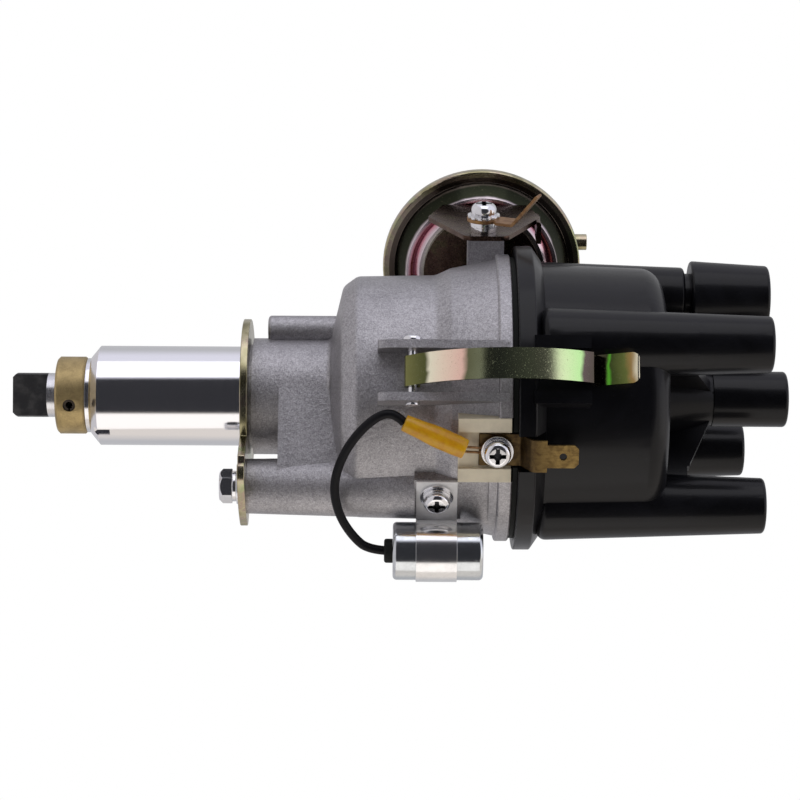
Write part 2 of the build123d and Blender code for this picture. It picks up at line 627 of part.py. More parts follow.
def housing():
    body = bowl_profile() + clamp_boss() + side_boss()
    pad_start = TAB_LOW - GAP
    pad = facing(TAB_FACE - 2.5, TAB_ANGLE, STRAP_Z) * Pos((pad_start + BOSS_TOP_R) / 2, 0, 0)
    body += pad * Box(BOSS_TOP_R - pad_start, STRAP_WIDTH + 1, 5)
    for angle in CLIP_ANGLES:
        body += clip_lugs(angle)
    body += unit_box(30, BRACKET_FACE, PAD_NEAR, PAD_FAR, BOWL_TOP - 11.1, BOWL_TOP - 1.3)
    pocket = facing(TAB_FACE + 6, TAB_ANGLE, (PAD_BOTTOM + BOWL_STEP + 14) / 2)
    body -= pocket * Box(4 * CAN_R, BOWL_STEP + 14 - PAD_BOTTOM, 12)
    body -= bowl_cavity() + shaft_bore()
    body -= block_seat()
    groove = facing(SHANK_R - DRAIN_DEPTH / 2, DRAIN_ANGLE, NOSE_Z + DRAIN_LENGTH / 2)
    body -= groove * Box(DRAIN_WIDTH, DRAIN_LENGTH, DRAIN_DEPTH + 0.02)
    body -= clamp_bolt_hole(CLAMP_BOLT_R, CLAMP_BOLT_DEPTH)
    body -= facing(TAB_FACE, TAB_ANGLE, STRAP_Z) * Cylinder(SCREW_R, 2 * SCREW_DEPTH)
    body -= unit_plane(unit_screw_d(), BRACKET_FACE, UNIT_SCREW_Z) * Rot(0, 90, 0) * Cylinder(
        SCREW_R, 2 * SCREW_DEPTH)
    slot = unit_box(UNIT_OFFSET - ROD_SLOT, UNIT_OFFSET + ROD_SLOT, 0, BOWL_RIM_R + GAP,
                    UNIT_Z - ROD_SLOT, UNIT_Z + ROD_SLOT)
    return body - slot


def unit_screw_d():
    return (PAD_NEAR + PAD_FAR) / 2


def clamp_bolt_hole(radius, depth):
    foot = polar(CLAMP_BOLT_RADIUS, CLAMP_BOLT_ANGLE)
    return rod(radius, PLATE_THICK - 0.5, depth, foot.X, foot.Y)


def shaft_bush(z):
    return ring(BUSH_R, SHAFT_R + RUN, z, z + BUSH_LENGTH)


def thrust_washer():
    return ring(THRUST_WASHER_R, SHAFT_R + GAP, WASHER_Z, NOSE_Z)


def clamp_plate():
    """Stamped plate: a disc, a sector lobe for the clamp bolt and an ear for the engine bolt."""
    low, high = PLATE_LOBE_ANGLES
    lobe = make_face(
        Polyline((0, 0), polar_xy(PLATE_LOBE_R, low))
        + CenterArc((0, 0), PLATE_LOBE_R, low, high - low)
        + Polyline(polar_xy(PLATE_LOBE_R, high), (0, 0))
    )
    tips = [v for v in lobe.vertices() if Vector(*v).length > PLATE_R]
    lobe = fillet(tips, 5.0)
    ear_at = polar(PLATE_EAR_RADIUS, PLATE_EAR_ANGLE)
    ear_end = Pos(ear_at.X, ear_at.Y) * Circle(PLATE_EAR_R)
    ear = make_hull(Circle(PLATE_R - 3).edges() + ear_end.edges())
    shape = Circle(PLATE_R) + lobe + ear
    half = CLAMP_BOLT_R + GAP
    outer, inner = CLAMP_BOLT_RADIUS + half, CLAMP_BOLT_RADIUS - half
    first, last = CLAMP_BOLT_ANGLE - CLAMP_SLOT_SWEEP, CLAMP_BOLT_ANGLE + CLAMP_SLOT_SWEEP
    slot = make_face(
        CenterArc((0, 0), outer, first, last - first)
        + Line(polar_xy(outer, last), polar_xy(inner, last))
        + CenterArc((0, 0), inner, last, first - last)
        + Line(polar_xy(inner, first), polar_xy(outer, first))
    )
    for end in (first, last):
        slot += Pos(*polar_xy(CLAMP_BOLT_RADIUS, end)) * Circle(half)
    shape -= slot
    shape -= Circle(REGISTER_R + RUN) + Pos(ear_at.X, ear_at.Y) * Circle(ENGINE_BOLT_R)
    notch = Pos(SHANK_R + 2.4, -PLATE_LOBE_R + 3) * Rectangle(PLATE_NOTCH_WIDTH, PLATE_NOTCH_LENGTH)
    return extrude(shape - notch, PLATE_THICK)


def clamp_bolt():
    foot = polar(CLAMP_BOLT_RADIUS, CLAMP_BOLT_ANGLE)
    low = -2 * WASHER_THICK - WASHER_THICK / 2 - CLAMP_BOLT_HEAD
    head = Plane.XY.offset(low) * RegularPolygon(CLAMP_BOLT_FLATS / 2, 6, major_radius=False)
    bolt = extrude(head, CLAMP_BOLT_HEAD)
    bolt = bolt & cone(CLAMP_BOLT_FLATS * 0.46, CLAMP_BOLT_FLATS * 0.46 + 4, low, low + 4)
    bolt += rod(CLAMP_BOLT_R, low + CLAMP_BOLT_HEAD - 0.5, CLAMP_BOLT_DEPTH)
    return Pos(foot.X, foot.Y, 0) * bolt


def clamp_washers():
    foot = polar(CLAMP_BOLT_RADIUS, CLAMP_BOLT_ANGLE)
    flat = ring(WASHER_R + 0.4, CLAMP_BOLT_R + 0.2, -WASHER_THICK, 0)
    lock = spring_washer(WASHER_R - 0.3, CLAMP_BOLT_R + 0.2, -2.5 * WASHER_THICK, 1.5 * WASHER_THICK)
    return Pos(foot.X, foot.Y, 0) * Compound(children=[flat, lock])


def clip_pin(angle):
    """Rivet pin with a domed head on one side and a peened end on the other."""
    length = LUG_GAP + 2 * LUG_THICK
    pin = Cylinder(CLIP_PIN_R, length + 1.2)
    head = Pos(0, 0, -length / 2 - 1.4) * Cylinder(2.75, 1.4, align=(Align.CENTER, Align.CENTER, Align.MIN))
    head = fillet(head.edges().group_by(Axis.Z)[0], 1.1)
    peened = Pos(0, 0, length / 2) * Cylinder(1.9, 0.9, align=(Align.CENTER, Align.CENTER, Align.MIN))
    place = Pos(CLIP_PIN_RADIUS, 0, CLIP_PIN_Z) * Rot(90, 0, 0)
    flip = Rot(0, 180, 0)
    return Rot(0, 0, angle) * place * flip * (pin + head + peened)


def spring_clip(angle):
    """Bowed spring-steel clip: a curl round its pin, a hook over the catch and a lever end."""
    hold = CLIP_HOLD_R + CLIP_THICK / 2
    curl = CenterArc((CLIP_PIN_RADIUS, CLIP_PIN_Z), hold, -CLIP_LEAN - CLIP_CURL, CLIP_CURL)
    bow = ThreePointArc(curl @ 1, (BOWL_R + CLIP_BOW_OUT, CLIP_BOW_Z), CLIP_HOOK[0])
    line = Wire([*curl.edges(), *bow.edges(), *Polyline(*CLIP_HOOK).edges()])
    section = Plane.XZ * sheet_strip(line, CLIP_THICK)
    clip = extrude(section, CLIP_WIDTH / 2, both=True)
    end = CLIP_HOOK[-1][1] + CLIP_THICK / 2
    shape = Pos(0, CLIP_PIN_Z) * RectangleRounded(CLIP_WIDTH + 0.1, 2 * (end - CLIP_PIN_Z), CLIP_CORNER_R)
    return Rot(0, 0, angle) * (clip & extrude(Plane.YZ * shape, 2 * BOWL_R))


def cap_gasket():
    return ring(SEAL_OUT_R, SEAL_IN_R, BOWL_TOP, SEAL_TOP) - blade_relief()


def blade_relief():
    """The notch in the cap's foot and its seal that the blade stands in."""
    low, high = BOWL_TOP - 1, CAP_SHOULDER + RELIEF_RISE
    inner = BLADE_SEAT - GAP
    plane = facing(inner + RELIEF_DEPTH / 2, BLOCK_ANGLE, (low + high) / 2)
    return plane * Box(BLADE_PLATE_WIDTH + 2 * RELIEF_SIDE, high - low, RELIEF_DEPTH)


# Cap group

def cap():
    """The moulding, up to the floors of the towers' sockets."""
    shell = turned(
        [(0, SEAL_TOP), (CAP_SKIRT_R, SEAL_TOP), (CAP_SKIRT_R, CAP_SHOULDER),
         (CAP_R + 1.1, CAP_SHOULDER + 2.6), (CAP_R, CAP_SHOULDER + 2.8),
         (CAP_TOP_R, CAP_TOP), (0, CAP_TOP)],
        [((CAP_SKIRT_R, SEAL_TOP), 0.4), ((CAP_SKIRT_R, CAP_SHOULDER), 0.6),
         ((CAP_TOP_R, CAP_TOP), 6.0)],
    )
    for index in range(4):
        shell += tower(TOWER_FIRST_ANGLE + 90 * index, tall=index == 1)
    shell += coil_tower()
    for index in range(4):
        shell += Rot(0, 0, TOWER_FIRST_ANGLE + 90 * index) * crown_rib()
    for angle in CLIP_ANGLES:
        shell += clip_catch(angle)
    inside_r = CAP_R - CAP_WALL
    ceiling = CAP_TOP - CAP_ROOF
    shell -= turned(
        [(0, SEAL_TOP - 1), (inside_r, SEAL_TOP - 1), (inside_r - 1.0, ceiling), (0, ceiling)],
        [((inside_r - 1.0, ceiling), 3.0)],
    )
    shell += ring(LIP_OUT_R, LIP_OUT_R - CAP_LIP_THICK, SEAL_TOP - SEAL_HEIGHT - CAP_LIP_DEPTH, SEAL_TOP + 1)
    shell += rod(6.5, BRUSH_MOUTH, ceiling + 1)
    for index in range(4):
        boss = polar(TOWER_RADIUS - 1.5, TOWER_FIRST_ANGLE + 90 * index)
        shell += rod(5.0, FOOT_TOP, ceiling + 1, boss.X, boss.Y)
    for index in range(4):
        spot = polar(TOWER_RADIUS, TOWER_FIRST_ANGLE + 90 * index)
        floor = tower_top(tall=index == 1) - SOCKET_DEPTH
        shell -= rod(MOUTH_R, floor, floor + 2 * SOCKET_DEPTH, spot.X, spot.Y)
        shell -= rod(ELECTRODE_R, FOOT_TOP - 2, floor + 1, spot.X, spot.Y)
        shell -= rod(CONTACT_R, floor - CONTACT_SINK, floor + 1, spot.X, spot.Y)
    floor = COIL_TOWER_TOP - SOCKET_DEPTH
    shell -= rod(CONTACT_R, floor - CONTACT_SINK, floor + 1)
    shell -= rod(MOUTH_R, floor, floor + 2 * SOCKET_DEPTH)
    shell -= rod(BRUSH_HOLE_R, BRUSH_MOUTH - 1, floor + 1)
    return shell - blade_relief()


def cap_towers():
    """The towers' mouths, each a tube from its socket's floor up, of one piece with the cap."""
    mouths = []
    for index in range(4):
        angle, tall = TOWER_FIRST_ANGLE + 90 * index, index == 1
        spot = polar(TOWER_RADIUS, angle)
        floor, top = tower_top(tall) - SOCKET_DEPTH, tower_top(tall)
        mouth = tower(angle, tall) & rod(MOUTH_R, floor, top + 1, spot.X, spot.Y)
        mouths.append(mouth - rod(SOCKET_R, floor - 1, top + 1, spot.X, spot.Y))
    floor = COIL_TOWER_TOP - SOCKET_DEPTH
    mouth = coil_tower() & rod(MOUTH_R, floor, COIL_TOWER_TOP + 1)
    mouths.append(mouth - rod(SOCKET_R, floor - 1, COIL_TOWER_TOP + 1))
    return Compound(children=mouths)


def tower_top(tall):
    return TALL_TOWER_TOP if tall else TOWER_TOP


def tower(angle, tall):
    """A plug-lead tower that stands in the side of the cap, with drawn walls."""
    spot = polar(TOWER_RADIUS, angle)
    start = CAP_SHOULDER + 1.4
    slope = (TOWER_BASE_R - TOWER_TIP_R) / (TOWER_TOP - start)
    top = TALL_TOWER_STEM if tall else TOWER_TOP
    stem = cone(TOWER_BASE_R, TOWER_BASE_R - slope * (top - start), start, top, spot.X, spot.Y)
    stem = fillet(stem.edges().group_by(Axis.Z)[0], 2.4)
    stem = fillet(stem.edges().group_by(Axis.Z)[-1], 1.0)
    if not tall:
        return stem
    barrel = cone(TALL_TOWER_R, TALL_TOWER_TIP_R, TALL_TOWER_STEM + 1.7, TALL_TOWER_TOP, spot.X, spot.Y)
    barrel = fillet(barrel.edges().group_by(Axis.Z)[0], 0.8)
    barrel = fillet(barrel.edges().group_by(Axis.Z)[-1], 1.0)
    return stem + barrel + rod(6.4, TALL_TOWER_STEM - 2, TALL_TOWER_STEM + 3, spot.X, spot.Y)


def coil_tower():
    low = CAP_TOP - 3
    neck = cone(COIL_TOWER_R + 5.2, COIL_TOWER_R - 0.3, low, COIL_TOWER_STEP)
    barrel = rod(COIL_TOWER_R, COIL_TOWER_STEP, COIL_TOWER_TOP)
    barrel = fillet(barrel.edges().group_by(Axis.Z)[-1], 1.0)
    return neck + barrel


def crown_rib():
    """A web from the coil tower to a plug tower, with a sloping free edge."""
    edge = outline([
        (0, CAP_TOP - 2), (0, COIL_TOWER_STEP - 0.8), (COIL_TOWER_R - 0.5, COIL_TOWER_STEP - 0.8),
        (20.0, TALL_TOWER_STEM - 0.5), (TOWER_RADIUS, TALL_TOWER_STEM - 2.5), (TOWER_RADIUS, CAP_TOP - 2),
    ])
    return extrude(Plane.XZ * edge, CAP_RIB_THICK / 2, both=True)


def clip_catch(angle):
    """The block a clip hooks over, with a guide rib each side of its channel."""
    low = CAP_SHOULDER - 0.6
    height = CATCH_TOP - low
    root = CAP_R - 1.4
    floor, rib_face = CAP_R + CATCH_FLOOR, CAP_R + CATCH_RIB_OUT
    catch = facing((root + floor) / 2, angle, low + height / 2) * Box(CATCH_GAP + 2, height, floor - root)
    for side in (-1, 1):
        rib = facing((root + rib_face) / 2, angle, low + height / 2)
        rib *= Pos(side * (CATCH_GAP + CATCH_RIB) / 2, 0, 0)
        catch += rib * Box(CATCH_RIB, height, rib_face - root)
    return catch


def side_electrode(angle, tall):
    """Brass insert: a foot beside the rotor's path, a stem and a disc in the socket's floor."""
    spot = polar(TOWER_RADIUS, angle)
    top = tower_top(tall) - SOCKET_DEPTH
    stem = rod(ELECTRODE_R, FOOT_TOP - 1, top, spot.X, spot.Y)
    cup = rod(CONTACT_R, top - CONTACT_SINK, top, spot.X, spot.Y)
    inner = ROTOR_TIP_R + ELECTRODE_GAP
    reach = TOWER_RADIUS - inner
    foot = facing(inner + reach / 2, angle, ELECTRODE_Z + 0.6) * Box(5.0, FOOT_TOP - FOOT_LOW, reach)
    return stem + cup + foot


def centre_contact():
    low = BRUSH_MOUTH + 9
    top = COIL_TOWER_TOP - SOCKET_DEPTH
    return rod(BRUSH_HOLE_R, low, top) + rod(CONTACT_R, top - CONTACT_SINK, top)


def carbon_brush():
    brush = rod(BRUSH_HOLE_R - 0.1, ELECTRODE_Z + 1.2 + RUN, BRUSH_MOUTH + 4)
    return fillet(brush.edges().group_by(Axis.Z)[0], 0.6)


def brush_spring():
    return ring(BRUSH_HOLE_R - 0.4, BRUSH_HOLE_R - 0.9, BRUSH_MOUTH + 4, BRUSH_MOUTH + 9)


# Breaker set

def base_plate():
    """Fixed plate on the bowl's ledge, with the hub that the breaker plate turns on."""
    body = ring(LEDGE_R - 0.15, HUB_BORE_R, LEDGE_Z, LEDGE_Z + 1.4)
    body += ring(HUB_R, HUB_BORE_R, LEDGE_Z, BREAKER_Z + BREAKER_THICK)
    for angle in (ARM_ANGLE + 80, ARM_ANGLE + 200, ARM_ANGLE + 320):
        body += facing(22, angle, (LEDGE_Z + BREAKER_Z - RUN) / 2) * Box(5, BREAKER_Z - RUN - LEDGE_Z, 6)
        hole = polar(18, angle + 60)
        body -= rod(4.0, LEDGE_Z - 1, LEDGE_Z + 3, hole.X, hole.Y)
    return body - block_seat(GAP)


def breaker_plate():
    """Moving plate, with the pivot post of the arm and the pin of the pull rod."""
    low, top = BREAKER_Z, BREAKER_Z + BREAKER_THICK
    body = ring(BREAKER_R, HUB_R + RUN, low, top)
    window = Rot(0, 0, ARM_ANGLE + 130) * (Pos(19.5, 0, low) * Box(7, 9, 10))
    body -= window
    post = arm_point(ARM_X, ARM_PIVOT_Y)
    body += rod(1.75, top - 1, CONTACT_Z + 5, post.X, post.Y)
    pin = unit_place(UNIT_OFFSET, 0, 0)
    return body + rod(ROD_PIN_R, top - 1, UNIT_Z + 2.2, pin.X, pin.Y)


def arm_point(x, y, z=0.0):
    """A point of the breaker set: x out along the rubbing block's line, y across it."""
    return Vector(x, y, z).rotate(Axis.Z, ARM_ANGLE)


def breaker_arm():
    """Pressed arm from its pivot eye, past the rubbing block, to the moving contact."""
    low, high = CONTACT_Z - 2.5, CONTACT_Z + 2.5
    inner, outer = ARM_X - 1.0, ARM_X + 1.0
    arm = block(inner, outer, CONTACT_Y - 3, ARM_PIVOT_Y, low, high)
    arm += rod(3.4, low, high, ARM_X, ARM_PIVOT_Y)
    arm -= rod(1.75 + RUN, low - 1, high + 1, ARM_X, ARM_PIVOT_Y)
    tip = Pos(inner - 0.6, CONTACT_Y, CONTACT_Z) * Rot(0, 90, 0) * Cylinder(2.0, 1.2)
    return Rot(0, 0, ARM_ANGLE) * (arm + tip)


def rubbing_block():
    """Fibre heel that the cam lobes push."""
    start = CAM_BASE_R + RUBBING_GAP
    heel = outline([(start, -0.8), (ARM_X - 1, -3.0), (ARM_X - 1, 3.0), (start, 0.8)])
    heel = extrude(Plane.XY.offset(CONTACT_Z - 2.2) * heel, 4.4)
    return Rot(0, 0, ARM_ANGLE) * heel


def arm_spring():
    """Leaf spring from the arm to the anchor of the fixed contact's terminal."""
    near, far = ARM_X + 1.25, ARM_X + 6.5
    line = FilletPolyline((near, 1), (near, 9), (far, 11), (far, 2), radius=1.8)
    strip = Plane.XY.offset(CONTACT_Z - 2) * sheet_strip(line, 0.5)
    return Rot(0, 0, ARM_ANGLE) * extrude(strip, 4)


def fixed_contact():
    """Adjustable bracket that carries the fixed point, screwed to the breaker plate."""
    top = BREAKER_Z + BREAKER_THICK
    inner = ARM_X - 1 - 1.2 - 1.0
    foot = block(inner - 1.2, 23.0, CONTACT_Y - 6, CONTACT_Y + 3, top, top + 1.2)
    wall = block(inner - 1.2, inner, CONTACT_Y - 3, CONTACT_Y + 3, top, CONTACT_Z + 2.5)
    point = Pos(inner + 0.5, CONTACT_Y, CONTACT_Z) * Rot(0, 90, 0) * Cylinder(2.0, 1.0)
    hole = rod(1.5, top - 1, top + 3, 20.5, CONTACT_Y - 2.5)
    return Rot(0, 0, ARM_ANGLE) * (foot + wall + point - hole)


def contact_screw():
    top = BREAKER_Z + BREAKER_THICK + 1.2
    spot = arm_point(20.5, CONTACT_Y - 2.5, top)
    return Pos(spot) * pan_screw(1.2, 2.6, 1.6, 1.5)


# Terminal and condenser

def terminal_block():
    """Moulded insulator in the bowl's wall, with a raised rib along each side."""
    low, top = BLOCK_BOTTOM, BOWL_TOP - 0.4
    middle = (low + top) / 2
    inner = LEDGE_R - 1.2
    deep = BLADE_SEAT - inner
    body = facing(inner + deep / 2, BLOCK_ANGLE, middle) * Box(BLOCK_WIDTH, top - low, deep)
    for side in (-1, 1):
        rib = Pos(side * (BLOCK_WIDTH / 2 - 1.9), 0, 0) * Box(3.8, top - low, 3.0)
        body += facing(BLADE_SEAT, BLOCK_ANGLE, middle) * rib
    body -= rod(RIM_RECESS_R, BOWL_TOP - CAP_LIP_DEPTH - 0.3, BOWL_TOP + 1)
    body -= rod(LEDGE_R, LEDGE_Z - 1, LEDGE_Z + 1.7)
    return body - facing(BLOCK_FACE, BLOCK_ANGLE, TERMINAL_Z) * Cylinder(SCREW_R, 2 * SCREW_DEPTH)


def terminal_blade():
    """Stamped brass: a plate under the screw, an outward step and the push-on blade."""
    low_x = BLADE_SEAT + BLADE_THICK / 2
    high_x = CAP_SKIRT_R + GAP + BLADE_THICK / 2
    line = FilletPolyline(
        (low_x, TERMINAL_Z - BLADE_PLATE_WIDTH / 2), (low_x, SEAL_TOP + BLADE_THICK),
        (high_x, CAP_SHOULDER - BLADE_THICK), (high_x, BLADE_TOP), radius=1.2,
    )
    strip = extrude(Plane.XZ * sheet_strip(line, BLADE_THICK), BLADE_PLATE_WIDTH / 2, both=True)
    half = BLADE_WIDTH / 2
    wide = BLADE_PLATE_WIDTH
    neck, corner = CAP_SHOULDER + 2.8, 1.1
    trim = outline([
        (half, neck), (wide, neck), (wide, BLADE_TOP + 1), (-wide, BLADE_TOP + 1), (-wide, neck),
        (-half, neck), (-half, BLADE_TOP - corner), (-half + corner, BLADE_TOP),
        (half - corner, BLADE_TOP), (half, BLADE_TOP - corner),
    ])
    strip -= extrude(Plane.YZ * trim, 2 * BOWL_R)
    strip -= Pos(high_x, 0, BLADE_TOP - 4) * Rot(0, 90, 0) * Cylinder(0.95, 6)
    strip -= Pos(low_x, 0, TERMINAL_Z) * Rot(0, 90, 0) * Cylinder(SCREW_R + 0.1, 4)
    return Rot(0, 0, BLOCK_ANGLE) * strip


def ring_terminal():
    """Ring under the terminal screw, with two bare strands that run to the sleeve."""
    face = BLADE_SEAT + BLADE_THICK
    ring_tag = extrude(Circle(RING_R) - Circle(SCREW_R + 0.1), RING_THICK)
    tag = facing(face, BLOCK_ANGLE, TERMINAL_Z) * ring_tag
    edge = facing(face + RING_THICK / 2, BLOCK_ANGLE, TERMINAL_Z - RING_R + 2 * STRAND_R)
    sleeve_end = Vector(*SLEEVE_END)
    for side in (-0.5, 0.5):
        across = edge.x_dir * STRAND_GAP * side
        start, end = edge.origin + across, sleeve_end + across
        length = (end - start).length
        strand = Plane(origin=start, z_dir=end - start) * rod(STRAND_R, 0, length + STRAND_R)
        tag += strand
    below = facing(face - RING_THICK / 2, BLOCK_ANGLE, TERMINAL_Z) * Box(4 * RING_R, 4 * RING_R, RING_THICK)
    washers = facing(face + RING_THICK, BLOCK_ANGLE, TERMINAL_Z) * rod(WASHER_R, 0, 2 * WASHER_THICK)
    return tag - crimp_sleeve() - below - washers


def crimp_sleeve():
    start, end = Vector(*SLEEVE_START), Vector(*SLEEVE_END)
    axis = Plane(origin=start, z_dir=end - start)
    length = (end - start).length
    middle, tail = (2.8, 0.52 * length), (2.75, 0.85 * length)
    body = axis * turned(
        [(0, 0), (2.2, 0), (2.4, 0.25 * length), middle, tail, (2.6, length), (0, length)],
        [((2.4, 0.25 * length), 4.0), (middle, 4.0)],
    )
    return body - axis * Pos(0, 0, 1.4) * Cylinder(LEAD_R, 3.0)


def terminal_screw():
    lift = BLADE_THICK + RING_THICK + 2 * WASHER_THICK
    return facing(BLADE_SEAT + lift, BLOCK_ANGLE, TERMINAL_Z) * pan_screw(lift + SCREW_HOLD)


def terminal_washers():
    face = BLADE_SEAT + BLADE_THICK + RING_THICK
    flat = ring(WASHER_R - 0.2, SCREW_R, 0, WASHER_THICK)
    lock = spring_washer(WASHER_R - 0.7, SCREW_R, WASHER_THICK, WASHER_THICK)
    return facing(face, BLOCK_ANGLE, TERMINAL_Z) * Compound(children=[flat, lock])


def condenser_can():
    can = rod(CAN_R, CAN_BOTTOM, CAN_BOTTOM + CAN_LENGTH)
    can = fillet(can.edges().group_by(Axis.Z)[0] + can.edges().group_by(Axis.Z)[-1], 1.1)
    can -= rod(2.2, CAN_BOTTOM - 1, CAN_BOTTOM + 2.0)
    return Pos(CAN_X, CAN_Y, 0) * can


def condenser_grommet():
    body = rod(GROMMET_R, CAN_BOTTOM - 2.3, CAN_BOTTOM)
    body = fillet(body.edges().group_by(Axis.Z)[0], 0.7)
    body += rod(2.2, CAN_BOTTOM - 0.5, CAN_BOTTOM + 2.0)
    body -= rod(LEAD_R, CAN_BOTTOM - 4, CAN_BOTTOM + 0.5)
    return Pos(CAN_X, CAN_Y, 0) * body


def condenser_strap():
    """Band round the can that runs off into the flat tab."""
    low = STRAP_Z - STRAP_WIDTH / 2
    band = Pos(CAN_X, CAN_Y) * (Circle(CAN_R + STRAP_THICK) - Circle(CAN_R))
    body = extrude(Plane.XY.offset(low) * band, STRAP_WIDTH)
    flat = facing(TAB_FACE + STRAP_THICK / 2, TAB_ANGLE, STRAP_Z)
    body += flat * Pos((TAB_LOW + TAB_HIGH) / 2, 0, 0) * Box(TAB_HIGH - TAB_LOW, STRAP_WIDTH, STRAP_THICK)
    body -= Pos(CAN_X, CAN_Y, 0) * rod(CAN_R, low - 1, low + STRAP_WIDTH + 1)
    return body - facing(TAB_FACE, TAB_ANGLE, STRAP_Z) * Cylinder(SCREW_R + 0.1, 4)


def condenser_screw():
    lift = STRAP_THICK + 2 * WASHER_THICK
    return facing(TAB_FACE + lift, TAB_ANGLE, STRAP_Z) * pan_screw(lift + SCREW_HOLD)


def condenser_washers():
    face = TAB_FACE + STRAP_THICK
    flat = ring(WASHER_R, SCREW_R, 0, WASHER_THICK)
    lock = spring_washer(WASHER_R - 0.7, SCREW_R, WASHER_THICK, WASHER_THICK)
    return facing(face, TAB_ANGLE, STRAP_Z) * Compound(children=[flat, lock])


def condenser_lead():
    """Insulated wire from the condenser to the terminal's sleeve, along its real loop."""
    route = [Vector(*point) for point in LEAD_ROUTE]
    radii = []
    for before, corner, after in zip(route, route[1:], route[2:]):
        turn = (corner - before).get_angle(after - corner)
        shorter = min((corner - before).length, (after - corner).length)
        radii.append(0.45 * shorter / tan(radians(turn) / 2))
    path = FilletPolyline(*route, radius=radii)
    start = Plane(origin=route[0], z_dir=route[1] - route[0])
    tube = sweep(start * Circle(LEAD_R), path=path)
    expected = Circle(LEAD_R).area * path.length
    print("lead length", round(path.length, 1), "volume", round(tube.volume, 1), "of", round(expected, 1))
    print("lead arcs", [round(radius, 1) for radius in radii])
    return tube


# Vacuum unit

def unit_turned(points, rounds=()):
    """A pressing about the pull rod's line, from (radius, distance) corners."""
    return unit_plane() * turned(points, rounds)


def vacuum_front_shell():
    """Pressed front shell: a flat floor, a raised bead, a deep groove and the rim."""
    rim = UNIT_RIM_DISTANCE
    t = UNIT_SHEET
    return unit_turned([
        (ROD_SLOT + 0.5, UNIT_FLOOR), (17.8, UNIT_FLOOR), (19.2, rim - 4.5), (20.4, rim - 5.5),
        (21.5, rim - 5.3), (22.4, rim - 4.0), (25.0, rim - 0.6), (UNIT_FLANGE_R, rim - 0.6),
        (UNIT_FLANGE_R, rim + t - 0.6), (24.6, rim + t - 0.6), (21.5, rim - 3.4), (20.9, rim - 4.3),
        (19.2, rim - 3.2), (17.4, UNIT_FLOOR + t), (ROD_SLOT + 0.5, UNIT_FLOOR + t),
    ])


def vacuum_rear_shell():
    """Rear shell whose edge is rolled over the front shell's rim."""
    rim, lip = REAR_RIM, UNIT_RIM_DISTANCE - 0.6
    t = UNIT_SHEET
    shell = unit_turned([
        (UNIT_R, lip - 0.7), (UNIT_R, rim + t), (24.5, rim + t), (18.0, rim + UNIT_DEPTH - 2),
        (15.5, rim + UNIT_DEPTH), (0, rim + UNIT_DEPTH), (0, rim + UNIT_DEPTH - t),
        (14.8, rim + UNIT_DEPTH - t), (17.0, rim + UNIT_DEPTH - 2.6), (23.7, rim),
        (UNIT_FLANGE_R, rim), (UNIT_FLANGE_R, lip), (UNIT_FLANGE_R - 0.7, lip - 0.7),
    ], [((UNIT_R, lip - 0.7), 0.7), ((UNIT_R, rim + t), 1.0)])
    return shell - unit_plane(rim + UNIT_DEPTH, PORT_OFFSET) * Cylinder(PORT_R, 6)


def vacuum_port():
    """Bent steel pipe for the vacuum hose, brazed into the rear shell."""
    back = REAR_RIM + UNIT_DEPTH
    start = unit_place(PORT_OFFSET, back - UNIT_SHEET)
    corner = unit_place(PORT_OFFSET, back + PORT_ELBOW)
    end = unit_place(PORT_OFFSET, back + PORT_ELBOW, PORT_TOP)
    path = FilletPolyline(start, corner, end, radius=4.4)
    profile = Plane(origin=start, z_dir=corner - start)
    return sweep(profile * Circle(PORT_R), path=path) - sweep(profile * Circle(PORT_BORE_R), path=path)


def diaphragm():
    low, high = DIAPHRAGM_FACE, REAR_RIM
    return unit_turned([(2.0, low), (UNIT_FLANGE_R, low), (UNIT_FLANGE_R, high), (2.0, high)])


def vacuum_spring():
    low = REAR_RIM + 1.8
    high = REAR_RIM + UNIT_DEPTH - UNIT_SHEET
    return unit_turned([(6.2, low), (7.4, low), (7.4, high), (6.2, high)])


def vacuum_rod():
    """Pull rod with an eye over the breaker plate's pin and a plate behind the diaphragm."""
    rim, half = REAR_RIM, 1.4
    low, high = UNIT_Z - 0.75, UNIT_Z + 0.75
    body = unit_box(UNIT_OFFSET - half, UNIT_OFFSET + half, 0, rim + 1.0, low, high)
    eye = unit_place(UNIT_OFFSET, 0, 0)
    body += rod(3.6, low, high, eye.X, eye.Y)
    body -= rod(ROD_PIN_R + 0.35, UNIT_Z - 2, UNIT_Z + 2, eye.X, eye.Y)
    return body + unit_plane(rim + 1.2) * Cylinder(11.0, 1.2)


